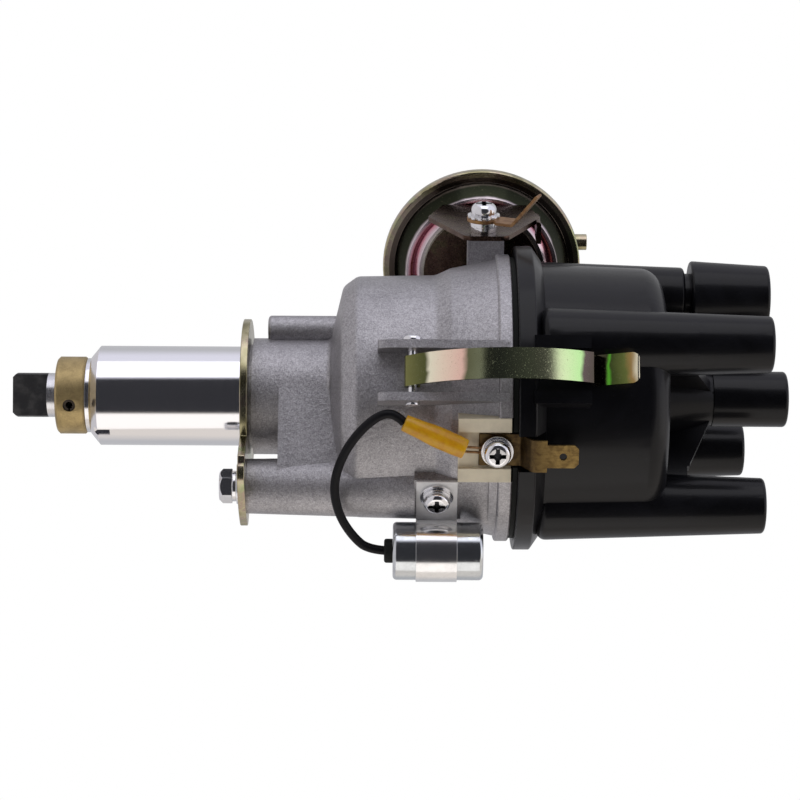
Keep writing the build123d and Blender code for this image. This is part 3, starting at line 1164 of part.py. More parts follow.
def vacuum_bracket():
    """Stamped bracket: a leg on the housing's pad, one end curled down, and a flange on the shell."""
    far = UNIT_FLOOR
    near = PAD_NEAR - 0.3
    leg = outline([
        (-BRACKET_NOSE, near), (BRACKET_NOSE, near), (BRACKET_HALF, BRACKET_TIP),
        (BRACKET_HALF - 3.4, far), (-BRACKET_HALF + 4.4, far), (-BRACKET_HALF, BRACKET_TIP),
    ], [((-BRACKET_NOSE, near), 3.0), ((BRACKET_NOSE, near), 3.0),
        ((BRACKET_HALF, BRACKET_TIP), 2.0), ((-BRACKET_HALF, BRACKET_TIP), 2.0)])
    top = BRACKET_FACE + BRACKET_THICK
    bracket = extrude(unit_screw_axis(BRACKET_FACE, 0, UNIT_Z) * leg, BRACKET_THICK)
    edge = UNIT_Z + BRACKET_HALF
    curl = unit_box(BRACKET_FACE - BRACKET_CURL, top, BRACKET_TIP - 5, BRACKET_TIP + 4,
                    edge - BRACKET_THICK, edge)
    bend = curl.edges().filter_by(GeomType.LINE).sort_by_distance(unit_place(top, BRACKET_TIP, edge))[0]
    bracket += fillet(bend, BRACKET_THICK * 0.9)
    bracket += unit_plane(far - BRACKET_THICK / 2) * Cylinder(BRACKET_DISC_R, BRACKET_THICK)
    bracket += unit_box(UNIT_OFFSET, top, far - BRACKET_THICK, far, UNIT_Z - 11, UNIT_Z + 11)
    bracket -= unit_plane(far) * Cylinder(ROD_SLOT + 0.5, 10)
    return bracket - unit_screw_axis(BRACKET_FACE) * Cylinder(SCREW_R + 0.1, 8)


def unit_screw_axis(height, distance=None, z=None):
    """A plane on the bracket: x along +Z, y along the pull, facing away from the shaft."""
    if distance is None:
        distance, z = unit_screw_d(), UNIT_SCREW_Z
    return Plane(origin=unit_place(height, distance, z), x_dir=(0, 0, 1), z_dir=polar(1, UNIT_ANGLE))


def vacuum_screw():
    lift = STACK_TAB + EARTH_TAB_THICK + WASHER_THICK
    screw = pan_screw(lift + BRACKET_THICK + SCREW_HOLD, head=STACK_HEAD)
    return unit_screw_axis(BRACKET_FACE + BRACKET_THICK + lift) * screw


def vacuum_washers():
    """A collar and a lock washer under the earth tag, and a toothed washer over it."""
    half = STACK_TAB / 2
    collar = ring(WASHER_R - 0.9, SCREW_R, 0, half)
    lock = spring_washer(WASHER_R - 0.5, SCREW_R, half, half)
    high = STACK_TAB + EARTH_TAB_THICK
    toothed = ring(WASHER_R, SCREW_R, high, high + WASHER_THICK)
    for tooth in range(12):
        toothed -= Rot(0, 0, 30 * tooth) * rod(0.45, high - 1, high + 2, WASHER_R, 0)
    return unit_screw_axis(BRACKET_FACE + BRACKET_THICK) * Compound(children=[collar, lock, toothed])


def earth_tab():
    """Brass earth tag under the screw, its end bent up for a push-on lead."""
    t = EARTH_TAB_THICK
    foot = Circle(4.6) + Pos(5.0, -2.2) * Rot(0, 0, -24) * Rectangle(7.0, 5.0)
    foot = extrude(foot - Circle(SCREW_R + 0.1), t)
    line = FilletPolyline((4.0, t / 2), (8.6, t / 2), (15.5, 9.0), radius=1.0)
    lift = extrude(Plane.XZ * sheet_strip(line, t), 1.6, both=True)
    tag = foot + Pos(0, -2.2, 0) * Rot(0, 0, -24) * lift
    return unit_screw_axis(BRACKET_FACE + BRACKET_THICK + STACK_TAB) * tag


NODES = {
    "drive_shaft": drive_shaft,
    "drive_collar": drive_collar,
    "collar_pin": collar_pin,
    "thrust_washer": thrust_washer,
    "governor_plate": governor_plate,
    "governor_springs": governor_springs,
    "cam_spindle": cam_spindle,
    "cam_screw": cam_screw,
    "rotor_arm": rotor_arm,
    "rotor_electrode": rotor_electrode,
    "housing": housing,
    "clamp_plate": clamp_plate,
    "clamp_bolt": clamp_bolt,
    "clamp_washers": clamp_washers,
    "cap_gasket": cap_gasket,
    "cap": cap,
    "cap_towers": cap_towers,
    "centre_contact": centre_contact,
    "carbon_brush": carbon_brush,
    "brush_spring": brush_spring,
    "base_plate": base_plate,
    "breaker_plate": breaker_plate,
    "breaker_arm": breaker_arm,
    "rubbing_block": rubbing_block,
    "arm_spring": arm_spring,
    "fixed_contact": fixed_contact,
    "contact_screw": contact_screw,
    "terminal_block": terminal_block,
    "terminal_blade": terminal_blade,
    "ring_terminal": ring_terminal,
    "crimp_sleeve": crimp_sleeve,
    "terminal_screw": terminal_screw,
    "terminal_washers": terminal_washers,
    "condenser_can": condenser_can,
    "condenser_grommet": condenser_grommet,
    "condenser_strap": condenser_strap,
    "condenser_screw": condenser_screw,
    "condenser_washers": condenser_washers,
    "condenser_lead": condenser_lead,
    "vacuum_front_shell": vacuum_front_shell,
    "vacuum_rear_shell": vacuum_rear_shell,
    "vacuum_port": vacuum_port,
    "diaphragm": diaphragm,
    "vacuum_spring": vacuum_spring,
    "vacuum_rod": vacuum_rod,
    "vacuum_bracket": vacuum_bracket,
    "vacuum_screw": vacuum_screw,
    "vacuum_washers": vacuum_washers,
    "earth_tab": earth_tab,
}


def build():
    solids = {name: make() for name, make in NODES.items()}
    solids["lower_bush"] = shaft_bush(LOWER_BUSH_Z)
    solids["upper_bush"] = shaft_bush(UPPER_BUSH_Z)
    solids["governor_weight_a"] = governor_weight(WEIGHT_ANGLES[0])
    solids["governor_weight_b"] = governor_weight(WEIGHT_ANGLES[1])
    for side, angle in zip(("front", "rear"), CLIP_ANGLES):
        solids[f"{side}_clip"] = spring_clip(angle)
        solids[f"{side}_clip_pin"] = clip_pin(angle)
    solids["plug_electrodes"] = Compound(children=[
        side_electrode(TOWER_FIRST_ANGLE + 90 * index, tall=index == 1) for index in range(4)
    ])
    return solids


os.makedirs("parts", exist_ok=True)
for node, shape in build().items():
    export_step(shape, f"parts/{node}.step")
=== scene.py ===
import json
from math import cos, pi, radians, sin

import bmesh
import bpy
from bpy.props import FloatProperty, FloatVectorProperty, IntProperty, PointerProperty
from mathutils import Matrix, Quaternion, Vector
from mathutils.bvhtree import BVHTree

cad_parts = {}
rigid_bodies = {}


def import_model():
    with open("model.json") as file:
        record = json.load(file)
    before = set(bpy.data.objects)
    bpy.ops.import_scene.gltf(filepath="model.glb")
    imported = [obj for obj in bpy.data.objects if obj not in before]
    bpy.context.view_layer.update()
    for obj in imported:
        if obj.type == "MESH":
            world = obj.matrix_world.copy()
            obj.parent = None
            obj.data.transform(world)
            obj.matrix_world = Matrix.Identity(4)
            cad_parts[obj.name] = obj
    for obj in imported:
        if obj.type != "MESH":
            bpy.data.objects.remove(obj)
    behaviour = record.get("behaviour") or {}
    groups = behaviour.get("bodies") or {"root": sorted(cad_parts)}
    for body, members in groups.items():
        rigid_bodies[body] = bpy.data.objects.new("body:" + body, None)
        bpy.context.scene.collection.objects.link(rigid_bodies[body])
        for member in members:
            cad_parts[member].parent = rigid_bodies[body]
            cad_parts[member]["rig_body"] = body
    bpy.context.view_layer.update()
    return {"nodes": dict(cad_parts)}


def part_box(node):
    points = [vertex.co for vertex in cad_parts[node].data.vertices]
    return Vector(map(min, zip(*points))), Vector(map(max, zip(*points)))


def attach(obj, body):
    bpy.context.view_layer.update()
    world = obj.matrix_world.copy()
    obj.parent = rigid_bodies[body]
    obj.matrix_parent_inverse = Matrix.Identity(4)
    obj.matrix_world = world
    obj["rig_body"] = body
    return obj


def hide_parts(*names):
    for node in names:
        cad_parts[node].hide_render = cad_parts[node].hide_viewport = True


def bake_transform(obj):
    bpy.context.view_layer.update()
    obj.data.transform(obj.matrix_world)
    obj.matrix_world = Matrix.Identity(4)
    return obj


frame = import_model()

bl_info = {
    "name": "Ignition distributor",
    "version": (1, 0, 0),
    "blender": (4, 5, 0),
    "location": "View3D > Sidebar > Distributor",
    "description": "Finishes for a four-cylinder ignition distributor, with its springs and lead",
    "category": "Object",
}


def middle_z(node):
    """The height halfway up a node."""
    low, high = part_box(node)
    return (low.z + high.z) / 2


MM = 0.001
SHANK_TOP = 0.0                                   # the clamp plate's lower face
COLLAR_STAND_OFF = 2.7 * MM                       # from the tongue's shoulder up to the collar
TONGUE_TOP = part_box("drive_collar")[0].z - COLLAR_STAND_OFF
BOWL_R = 33.2 * MM                                # the bowl's side, which the lead runs past
UNIT_ANGLE = radians(200.0)                       # from the shaft to the vacuum unit, round the shaft
UNIT_OFFSET = 22.6 * MM                           # from the shaft's axis to the pull rod's line
UNIT_Z = middle_z("vacuum_rear_shell")
UNIT_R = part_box("vacuum_rear_shell")[1].z - UNIT_Z
BORDER = 0.1 * MM                                 # half the width over which one finish becomes another

# How far the edges of each kind of piece are rounded
STRIP_EDGE = 0.05 * MM
SCREW_EDGE = 0.06 * MM
FOIL_EDGE = 0.08 * MM
FINE_EDGE = 0.1 * MM
STAMPED_EDGE = 0.12 * MM
TURNED_EDGE = 0.15 * MM
HEAVY_EDGE = 0.2 * MM
MOULDED_EDGE = 0.25 * MM


# Sockets and expressions

class Field:
    """A socket's value, for use in expressions; each operator adds one Math node."""

    def __init__(self, look, socket):
        self.look = look
        self.socket = socket

    def maths(self, operation, *values):
        return self.look.node("ShaderNodeMath", {"operation": operation}, dict(enumerate(values)))

    def __add__(self, other):
        return self.maths("ADD", self, other)

    __radd__ = __add__

    def __sub__(self, other):
        return self.maths("SUBTRACT", self, other)

    def __rsub__(self, other):
        return self.maths("SUBTRACT", other, self)

    def __mul__(self, other):
        return self.maths("MULTIPLY", self, other)

    __rmul__ = __mul__

    def __truediv__(self, other):
        return self.maths("DIVIDE", self, other)

    def __pow__(self, other):
        return self.maths("POWER", self, other)

    def step(self, low, high):
        """0 below low and 1 above high, with a smooth run between them."""
        settings = {"interpolation_type": "SMOOTHSTEP"}
        values = {"Value": self, "From Min": low, "From Max": high}
        return self.look.node("ShaderNodeMapRange", settings, values)


class Nodes:
    """A tree of nodes, and the few ways in which this file adds to it."""

    def __init__(self, tree, coordinates):
        self.tree = tree
        self.place = self.node("ShaderNodeTexCoord", {}, {}, coordinates)
        self.x, self.y, self.z = self.parts(self.place)

    def node(self, kind, settings, values, output=0):
        """Adds a node, sets its settings, then its sockets, and gives one output."""
        made = self.tree.nodes.new(kind)
        for name, value in settings.items():
            if name == "stops":
                self.set_stops(made.color_ramp, value)
            else:
                setattr(made, name, value)
        for name, value in values.items():
            socket = made.inputs[name]
            if isinstance(value, Field):
                self.tree.links.new(value.socket, socket)
            else:
                socket.default_value = value
        return None if output is None else Field(self, made.outputs[output])

    @staticmethod
    def set_stops(ramp, stops):
        while len(ramp.elements) < len(stops):
            ramp.elements.new(0.5)
        for element, (position, colour) in zip(ramp.elements, stops):
            element.position = position
            element.color = (*colour, 1.0)

    def parts(self, vector):
        made = self.tree.nodes.new("ShaderNodeSeparateXYZ")
        self.tree.links.new(vector.socket, made.inputs[0])
        return [Field(self, socket) for socket in made.outputs]

    def stretched(self, scale, turn=(0, 0, 0), shift=(0, 0, 0)):
        values = {"Vector": self.place, "Scale": scale, "Rotation": turn, "Location": shift}
        return self.node("ShaderNodeMapping", {}, values)

    def noise(self, size, detail=3.0, rough=0.55, along=None, warp=0.0):
        """Noise from 0 to 1 whose features are about size metres across."""
        values = {"Vector": along or self.place, "Scale": 1 / size, "Detail": detail,
                  "Roughness": rough, "Distortion": warp}
        return self.node("ShaderNodeTexNoise", {}, values)

    def cells(self, size):
        return self.node("ShaderNodeTexVoronoi", {}, {"Vector": self.place, "Scale": 1 / size})

    def ramp(self, factor, stops):
        return self.node("ShaderNodeValToRGB", {"stops": stops}, {0: factor})

    def mix(self, factor, first, second):
        """A colour between two, each a colour of three numbers or a field."""
        full = [c if isinstance(c, Field) else (*c, 1.0) for c in (first, second)]
        values = {0: factor, 6: full[0], 7: full[1]}
        return self.node("ShaderNodeMix", {"data_type": "RGBA"}, values, 2)

    def between(self, factor, first, second):
        return first + factor * (second - first)


class Look(Nodes):
    """One material: its shader, with constants set on it, and the nodes that feed it."""

    def __init__(self, name, **constants):
        self.material = bpy.data.materials.new(name)
        self.material.use_nodes = True
        super().__init__(self.material.node_tree, "Object")
        self.shader = self.tree.nodes["Principled BSDF"]
        for socket, value in constants.items():
            self.shader.inputs[socket.replace("_", " ")].default_value = value

    def feed(self, **inputs):
        """Links fields to the shader's sockets."""
        for name, field in inputs.items():
            self.tree.links.new(field.socket, self.shader.inputs[name.replace("_", " ")])

    def bump(self, height, depth, strength=1.0):
        values = {"Height": height, "Distance": depth, "Strength": strength}
        self.feed(Normal=self.node("ShaderNodeBump", {}, values))


def sizes():
    return bpy.context.scene.distributor


def colour(name):
    return tuple(getattr(sizes(), name))


def scaled(tint, share):
    return tuple(share * part for part in tint)


# Finishes

def cast_aluminium():
    """Sand-grained casting, with the shank turned and polished below the clamp plate."""
    look = Look("cast_aluminium", Metallic=1.0)
    grain = look.noise(0.9 * MM, 5, 0.8)
    sand = look.noise(0.34 * MM, 2, 0.6)
    pores = look.cells(1.1 * MM)
    blotch = look.noise(9 * MM, 3, 0.6)
    scuff = look.noise(1.6 * MM, 4, 0.7, look.stretched((1, 1, 0.3)))
    turned = 1 - look.z.step(SHANK_TOP - BORDER, SHANK_TOP + BORDER)
    lines = look.noise(0.35 * MM, 2, 0.5, look.stretched((0.02, 0.02, 1)))
    base = colour("aluminium")
    shade = look.mix(blotch.step(0.3, 0.7), scaled(base, 0.9), scaled(base, 1.08))
    shade = look.mix(grain.step(0.42, 0.62) * 0.5, shade, scaled(base, 0.55))
    shade = look.mix(sand.step(0.5, 0.68) * 0.45, shade, scaled(base, 0.5))
    shade = look.mix((1 - sand).step(0.5, 0.68) * 0.4, shade, scaled(base, 1.55))
    shade = look.mix(scuff.step(0.62, 0.72) * 0.3, shade, scaled(base, 1.3))
    shade = look.mix(turned, shade, (0.83, 0.83, 0.85))
    rough = look.between(turned, 0.36 + grain * 0.2, 0.07 + lines * 0.08)
    look.feed(Base_Color=shade, Roughness=rough)
    cast = grain * 0.8 + pores * 0.3 + sand * 0.3
    look.bump(look.between(turned, cast, lines * 0.03), 0.22 * MM, 0.75)
    return look.material


def polished_steel():
    """Bright shaft with a black-oxide drive tongue."""
    look = Look("shaft_steel", Metallic=0.95)
    lines = look.noise(0.3 * MM, 2, 0.5, look.stretched((0.03, 0.03, 1)))
    patch = look.noise(3.0 * MM, 3, 0.6)
    tongue = 1 - look.z.step(TONGUE_TOP - BORDER, TONGUE_TOP + BORDER)
    oxide = look.mix(patch.step(0.4, 0.75), (0.065, 0.065, 0.067), (0.12, 0.118, 0.116))
    look.feed(Base_Color=look.mix(tongue, (0.7, 0.7, 0.72), oxide),
              Roughness=look.between(tongue, 0.14 + lines * 0.2, 0.42 + patch * 0.14))
    look.bump(lines * 0.2 + patch * tongue * 0.5, 0.06 * MM, 0.5)
    return look.material


def bright_plating(name="bright_zinc", tint=(0.86, 0.86, 0.88), rough=0.08, dent=0.3):
    """Clear zinc or tin plating with faint dents, haze and fine scratches."""
    look = Look(name, Metallic=1.0)
    haze = look.noise(3.0 * MM, 4, 0.6)
    dents = look.noise(1.4 * MM, 2, 0.5)
    scratch = look.noise(0.5 * MM, 2, 0.6, look.stretched((1, 0.08, 0.4), (0.4, 0.3, 0.9)))
    look.feed(Base_Color=look.mix(haze.step(0.3, 0.8), tint, scaled(tint, 0.82)),
              Roughness=rough + haze * 0.1 + scratch.step(0.62, 0.7) * 0.08)
    look.bump(dents * dent + scratch * 0.1, 0.04 * MM, 0.4)
    return look.material


def chromate(look, surface_tone, wear, rough, speckle=0.16):
    """Finishes a look with the chromate's colour, specks where it is thin, and fine dents; on the clips
    and the vacuum shell that colour also holds painted highlight, reflection and shade.
    """
    fine = look.noise(1.1 * MM, 5, 0.7)
    specks = look.noise(0.45 * MM, 3, 0.75)
    worn = look.mix(specks.step(0.6, 0.74) * 0.5, surface_tone, wear)
    look.feed(Base_Color=worn, Roughness=rough + fine * 0.1 + specks.step(0.58, 0.74) * speckle)
    look.bump(fine * 0.6 + specks * 0.4, 0.03 * MM, 0.5)
    return look.material


def yellow_zinc():
    """Chromate passivation: gold that drifts to olive, pink and pale green."""
    look = Look("yellow_zinc", Metallic=1.0)
    drift = look.noise(10 * MM, 3, 0.55, warp=0.8)
    surface_tone = look.ramp(drift, [
        (0.30, (0.24, 0.21, 0.11)), (0.42, (0.38, 0.35, 0.21)), (0.50, (0.50, 0.45, 0.30)),
        (0.56, (0.44, 0.35, 0.28)), (0.64, (0.40, 0.43, 0.25)), (0.74, (0.28, 0.28, 0.15)),
    ])
    return chromate(look, surface_tone, (0.36, 0.33, 0.22), 0.16)


def clip_film_and_painted_light(name, shift):
    """Thick chromate on the clips, in bands along their length: cream and pink at the hinge end, lime at
    the hook end, brightened to near white as painted highlight, with near-black bands of painted
    reflection across the middle and on the hook.
    """
    look = Look(name, Metallic=1.0)
    drift = look.noise(9 * MM, 2, 0.5, look.stretched((1, 1, 1), shift=shift), 0.6)
    low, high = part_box("front_clip")
    along = (look.z - low.z) / (high.z - low.z)
    # Stops by place along the clip: the hues are the chromate's; the near-white stops are painted
    # highlight and the near-black stops painted reflection.
    surface_tone = look.ramp(along + (drift - 0.5) * 0.06, [
        (0.00, (0.22, 0.22, 0.08)), (0.085, (0.10, 0.11, 0.04)), (0.105, (1.00, 0.95, 0.72)),
        (0.19, (1.00, 0.76, 0.60)), (0.24, (1.00, 0.66, 0.54)), (0.265, (0.16, 0.17, 0.09)),
        (0.40, (0.34, 0.38, 0.24)), (0.52, (0.80, 0.90, 0.50)), (0.60, (0.96, 1.00, 0.60)),
        (0.745, (0.62, 1.00, 0.40)), (0.765, (0.15, 0.115, 0.10)), (0.870, (0.05, 0.055, 0.024)),
        (0.882, (0.12, 0.50, 0.04)), (0.890, (0.055, 0.08, 0.022)), (0.945, (0.15, 0.18, 0.05)),
        (0.965, (0.38, 0.25, 0.09)), (0.985, (0.86, 0.80, 0.58)),
    ])
    return chromate(look, surface_tone, (0.36, 0.38, 0.24), 0.09, 0.4)


def shell_film():
    """Chromate on the vacuum unit's open side, coloured in rings by radius: the chromate's hues, with
    painted highlights on the bead's crest, on the pale band inside the bead and at the rim, and
    near-black painted shade in the groove outside the bead.
    """
    look = Look("shell_film", Metallic=1.0)
    up = look.x * cos(UNIT_ANGLE) + look.y * sin(UNIT_ANGLE) - UNIT_OFFSET
    across = look.z - UNIT_Z
    radius = ((up * up + across * across) ** 0.5) / UNIT_R
    drift = look.noise(9 * MM, 2, 0.5, warp=0.5)
    # Stops by radius: the near-white 0.60 and 0.75 stops and the pale rim are painted highlight, the
    # near-black 0.775 and 0.85 stops painted shade in the groove.
    rings = look.ramp(radius + (drift - 0.5) * 0.03, [
        (0.10, (0.34, 0.40, 0.16)), (0.45, (0.46, 0.53, 0.25)), (0.56, (0.56, 0.58, 0.30)),
        (0.60, (0.98, 0.93, 0.80)), (0.64, (0.66, 0.56, 0.60)), (0.68, (0.58, 0.22, 0.28)),
        (0.72, (0.86, 0.30, 0.36)), (0.75, (0.92, 0.80, 0.84)), (0.775, (0.024, 0.027, 0.016)),
        (0.85, (0.015, 0.017, 0.011)), (0.87, (0.12, 0.098, 0.08)), (0.955, (0.16, 0.13, 0.10)),
        (0.975, (0.60, 0.60, 0.34)), (1.00, (0.66, 0.66, 0.40)),
    ])
    floor = 1 - radius.step(0.5, 0.58)
    # The green streaks on the floor are chromate; the rings they are mixed into carry painted highlight
    # and shade.
    moss_and_painted_light = look.mix(drift.step(0.45, 0.65) * floor * 0.6, rings, (0.20, 0.26, 0.08))
    return chromate(look, moss_and_painted_light, (0.16, 0.145, 0.09), 0.14)


def dark_chromate():
    """Heavy brown chromate on the vacuum unit's bracket and pull rod."""
    look = Look("bracket_film", Metallic=1.0)
    drift = look.noise(5 * MM, 3, 0.6, warp=0.8)
    surface_tone = look.ramp(drift, [
        (0.34, (0.075, 0.045, 0.034)), (0.48, (0.10, 0.062, 0.048)), (0.58, (0.125, 0.085, 0.06)),
        (0.70, (0.115, 0.095, 0.055)),
    ])
    return chromate(look, surface_tone, (0.19, 0.16, 0.12), 0.22)


def bakelite():
    """Black phenolic moulding: satin, with a flow haze and a trace of dust."""
    look = Look("black_phenolic", IOR=1.5, Specular_IOR_Level=0.16, Coat_Weight=0.22, Coat_Roughness=0.16)
    haze = look.noise(14 * MM, 3, 0.6, warp=1.0)
    skin = look.noise(0.8 * MM, 3, 0.6)
    dust = look.cells(1.7 * MM)
    base = colour("phenolic")
    pale = scaled(base, 2.2)
    specks = 1 - dust.step(0.03, 0.08)
    clouded = look.mix(haze.step(0.35, 0.75), base, pale)
    look.feed(Base_Color=look.mix(specks * 0.08, clouded, (0.2, 0.2, 0.2)),
              Roughness=0.27 + haze * 0.14 + skin * 0.06)
    look.bump(skin * 0.5 + haze * 1.5, 0.05 * MM, 0.4)
    return look.material


def rubber(name="black_rubber", base=(0.008, 0.009, 0.008), rough=0.5):
    """Dull black rubber, sleeving, carbon or coated cloth with a fine grain."""
    look = Look(name, Specular_IOR_Level=0.15)
    grain = look.noise(0.5 * MM, 4, 0.7)
    look.feed(Base_Color=look.mix(grain, base, tuple(1.9 * c + 0.003 for c in base)),
              Roughness=rough + grain * 0.18)
    look.bump(grain, 0.05 * MM, 0.6)
    return look.material


def moulded(name, base, rough=0.42):
    """A light-coloured plastic with a faint mottle and moulding grain."""
    look = Look(name)
    cloud = look.noise(4.0 * MM, 3, 0.6)
    grain = look.noise(0.35 * MM, 3, 0.6)
    look.feed(Base_Color=look.mix(cloud.step(0.3, 0.8), base, scaled(base, 0.85)),
              Roughness=rough + grain * 0.15)
    look.bump(grain, 0.05 * MM, 0.5)
    return look.material


def aged_brass(name="aged_brass", base=(0.21, 0.155, 0.06), stain=(0.085, 0.055, 0.024)):
    """Stamped brass with brown tarnish, greenish clouds and faint rolling lines."""
    look = Look(name, Metallic=0.85)
    patch = look.noise(3.2 * MM, 5, 0.65, warp=0.6)
    green = look.noise(4.5 * MM, 3, 0.6, look.stretched((1, 1, 1), shift=(0.02, 0.0, 0.01)))
    rolled = look.noise(0.5 * MM, 3, 0.6, look.stretched((1, 1, 0.12)))
    tarnish = look.mix((patch * 0.8 + rolled * 0.25).step(0.38, 0.68), base, stain)
    tint = scaled((base[0], base[1], base[2] * 0.6), 1.6)
    look.feed(Base_Color=look.mix(green.step(0.56, 0.72) * 0.6, tarnish, tint),
              Roughness=0.3 + patch * 0.2 + rolled * 0.08)
    look.bump(rolled * 0.5 + patch, 0.04 * MM, 0.5)
    return look.material


def bronze(name, base, rough=0.42):
    """Plain or sintered metal of one tone, with a fine grain and darker patches."""
    look = Look(name, Metallic=0.85)
    grain = look.noise(0.4 * MM, 4, 0.7)
    patch = look.noise(3.4 * MM, 4, 0.6)
    worn = (grain * 0.4 + patch * 0.6).step(0.35, 0.7)
    look.feed(Base_Color=look.mix(worn, base, scaled(base, 0.6)), Roughness=rough + grain * 0.18)
    look.bump(grain * 0.6 + patch * 0.3, 0.06 * MM, 0.55)
    return look.material


def sleeve_plastic():
    """Glossy amber insulating sleeve that lets a little light through."""
    base = colour("sleeve")
    look = Look("amber_sleeve", Subsurface_Weight=0.1, Coat_Weight=0.12, Coat_Roughness=0.12)
    cloud = look.noise(2.4 * MM, 3, 0.6)
    skin = look.noise(0.5 * MM, 3, 0.6)
    deeper = (base[0] * 0.84, base[1] * 0.7, base[2] * 0.5)
    look.feed(Base_Color=look.mix(cloud.step(0.3, 0.75), base, deeper), Roughness=0.26 + skin * 0.16)
    look.bump(cloud + skin * 0.3, 0.12 * MM, 0.5)
    return look.material


def recess_grime():
    """Painted shade for a driver recess: dark plating that stands in for the shade inside it."""
    look = Look("recess_grime", Metallic=0.9)
    patch = look.noise(0.6 * MM, 3, 0.6)
    # The near-black and dark grey colours here are painted shade.
    look.feed(Base_Color=look.mix(patch.step(0.55, 0.75), (0.035, 0.036, 0.04), (0.16, 0.16, 0.17)),
              Roughness=0.3 + patch * 0.2)
    return look.material


def blade_brass():
    """The supply blade: darker brown at the screw end, golden at its tip."""
    look = Look("blade_brass", Metallic=0.9)
    low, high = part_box("terminal_blade")
    along = (look.z - low.z) / (high.z - low.z)
    patch = look.noise(2.6 * MM, 5, 0.65, warp=0.6)
    rolled = look.noise(0.5 * MM, 3, 0.6, look.stretched((1, 1, 0.12)))
    stain = (patch * 0.8 + rolled * 0.25).step(0.38, 0.68)
    dark = look.mix(stain, (0.13, 0.086, 0.034), (0.05, 0.03, 0.015))
    golden_tip = look.mix(stain, (0.34, 0.23, 0.08), (0.15, 0.095, 0.035))
    # Darker toward the screw end and golden toward the tip, by position along the blade.
    look.feed(Base_Color=look.mix((along + (patch - 0.5) * 0.2).step(0.45, 0.85), dark, golden_tip),
              Roughness=0.3 + patch * 0.2)
    look.bump(rolled * 0.5 + patch, 0.04 * MM, 0.5)
    return look.material


def strap_tin():
    """Tinned strap: bright where it is drawn round the can, matt grey on its flat tab."""
    look = Look("strap_tin")
    can_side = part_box("condenser_can")[0].x
    tab = 1 - look.x.step(can_side - 0.4 * MM, can_side + 0.8 * MM)
    haze = look.noise(2.4 * MM, 4, 0.6)
    grain = look.noise(0.4 * MM, 3, 0.6)
    look.feed(Base_Color=look.mix(haze.step(0.3, 0.8), (0.86, 0.86, 0.86), (0.78, 0.78, 0.78)),
              Metallic=look.between(tab, 1.0, 0.1),
              Roughness=look.between(tab, 0.13 + haze * 0.1, 0.4 + grain * 0.1))
    look.bump(grain * 0.3 + haze * 0.2, 0.03 * MM, 0.4)
    return look.material


def spring_wire():
    """Drawn spring wire, greyer than plating."""
    return bright_plating("spring_wire", (0.55, 0.55, 0.56), 0.2)


def plain_steel():
    """Unplated sheet of the governor and the breaker plates, filmed with oil."""
    return bright_plating("governor_steel", (0.62, 0.60, 0.58), 0.26)


FINISHES = {}


def finish(name, make, *values):
    """One material of each name, made when it is first asked for."""
    if name not in FINISHES:
        FINISHES[name] = make(*values)
    return FINISHES[name]


def shared(name):
    """The finishes that several groups use."""
    makers = {
        "cast": cast_aluminium,
        "steel": polished_steel,
        "plain": plain_steel,
        "bright": bright_plating,
        "yellow": yellow_zinc,
        "phenolic": bakelite,
        "rubber": rubber,
        "brass": aged_brass,
        "wire": spring_wire,
        "dark": dark_chromate,
        "recess": recess_grime,
    }
    return finish(name, makers[name])


# Meshes and pieces

SAME_POINT = 0.002 * MM
FLAT_ANGLE = 0.4                                  # degrees between faces that are one flat face
SHARP_ANGLE = 32.0                                # degrees past which an edge is rounded
CURL_ANGLE = 50.0                                 # the same, on a strip that is bent round a small curl
HARD_ANGLE = 50.0                                 # degrees past which shading breaks at an edge


def link(name, mesh):
    piece = bpy.data.objects.new(name, mesh)
    bpy.context.scene.collection.objects.link(piece)
    return piece


def settle(piece):
    """Applies what the piece's modifiers make, and leaves a plain mesh."""
    graph = bpy.context.evaluated_depsgraph_get()
    mesh = bpy.data.meshes.new_from_object(piece.evaluated_get(graph), depsgraph=graph)
    piece.modifiers.clear()
    piece.data = mesh
    return piece


def merged(node):
    """A copy of a node's mesh with its loose triangles joined and flat faces made whole."""
    mesh = frame["nodes"][node].data.copy()
    form = bmesh.new()
    form.from_mesh(mesh)
    bmesh.ops.remove_doubles(form, verts=form.verts, dist=SAME_POINT)
    bmesh.ops.dissolve_limit(form, angle_limit=radians(FLAT_ANGLE), verts=form.verts, edges=form.edges)
    form.to_mesh(mesh)
    form.free()
    mesh.materials.clear()
    return mesh


def soften(piece, width, angle, segments):
    """Rounds the piece's sharp edges and smooths its shading between them."""
    piece.data.shade_smooth()
    bevel = piece.modifiers.new("edge", "BEVEL")
    bevel.width = width
    bevel.segments = segments
    bevel.limit_method = "ANGLE"
    bevel.angle_limit = radians(angle)
    settle(piece)
    piece.data.shade_smooth()
    piece.data.set_sharp_from_angle(angle=radians(HARD_ANGLE))
    even = piece.modifiers.new("even", "WEIGHTED_NORMAL")
    even.keep_sharp = True
    return settle(piece)


def weld(piece, node):
    """Adds a node that is one moulding with the piece on the real part."""
    other = link(node + "_part", merged(node))
    union = piece.modifiers.new("union", "BOOLEAN")
    union.operation = "UNION"
    union.solver = "EXACT"
    union.object = other
    settle(piece)
    bpy.data.objects.remove(other)


def stand_in(piece, *nodes):
    """Puts a piece in the place of its nodes, on their body."""
    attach(piece, frame["nodes"][nodes[0]]["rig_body"])
    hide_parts(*nodes)
    return piece


def stretched(coil, node):
    """Puts a spring in its node's place: bakes its placement into its mesh and hides the node."""
    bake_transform(coil)
    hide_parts(node)


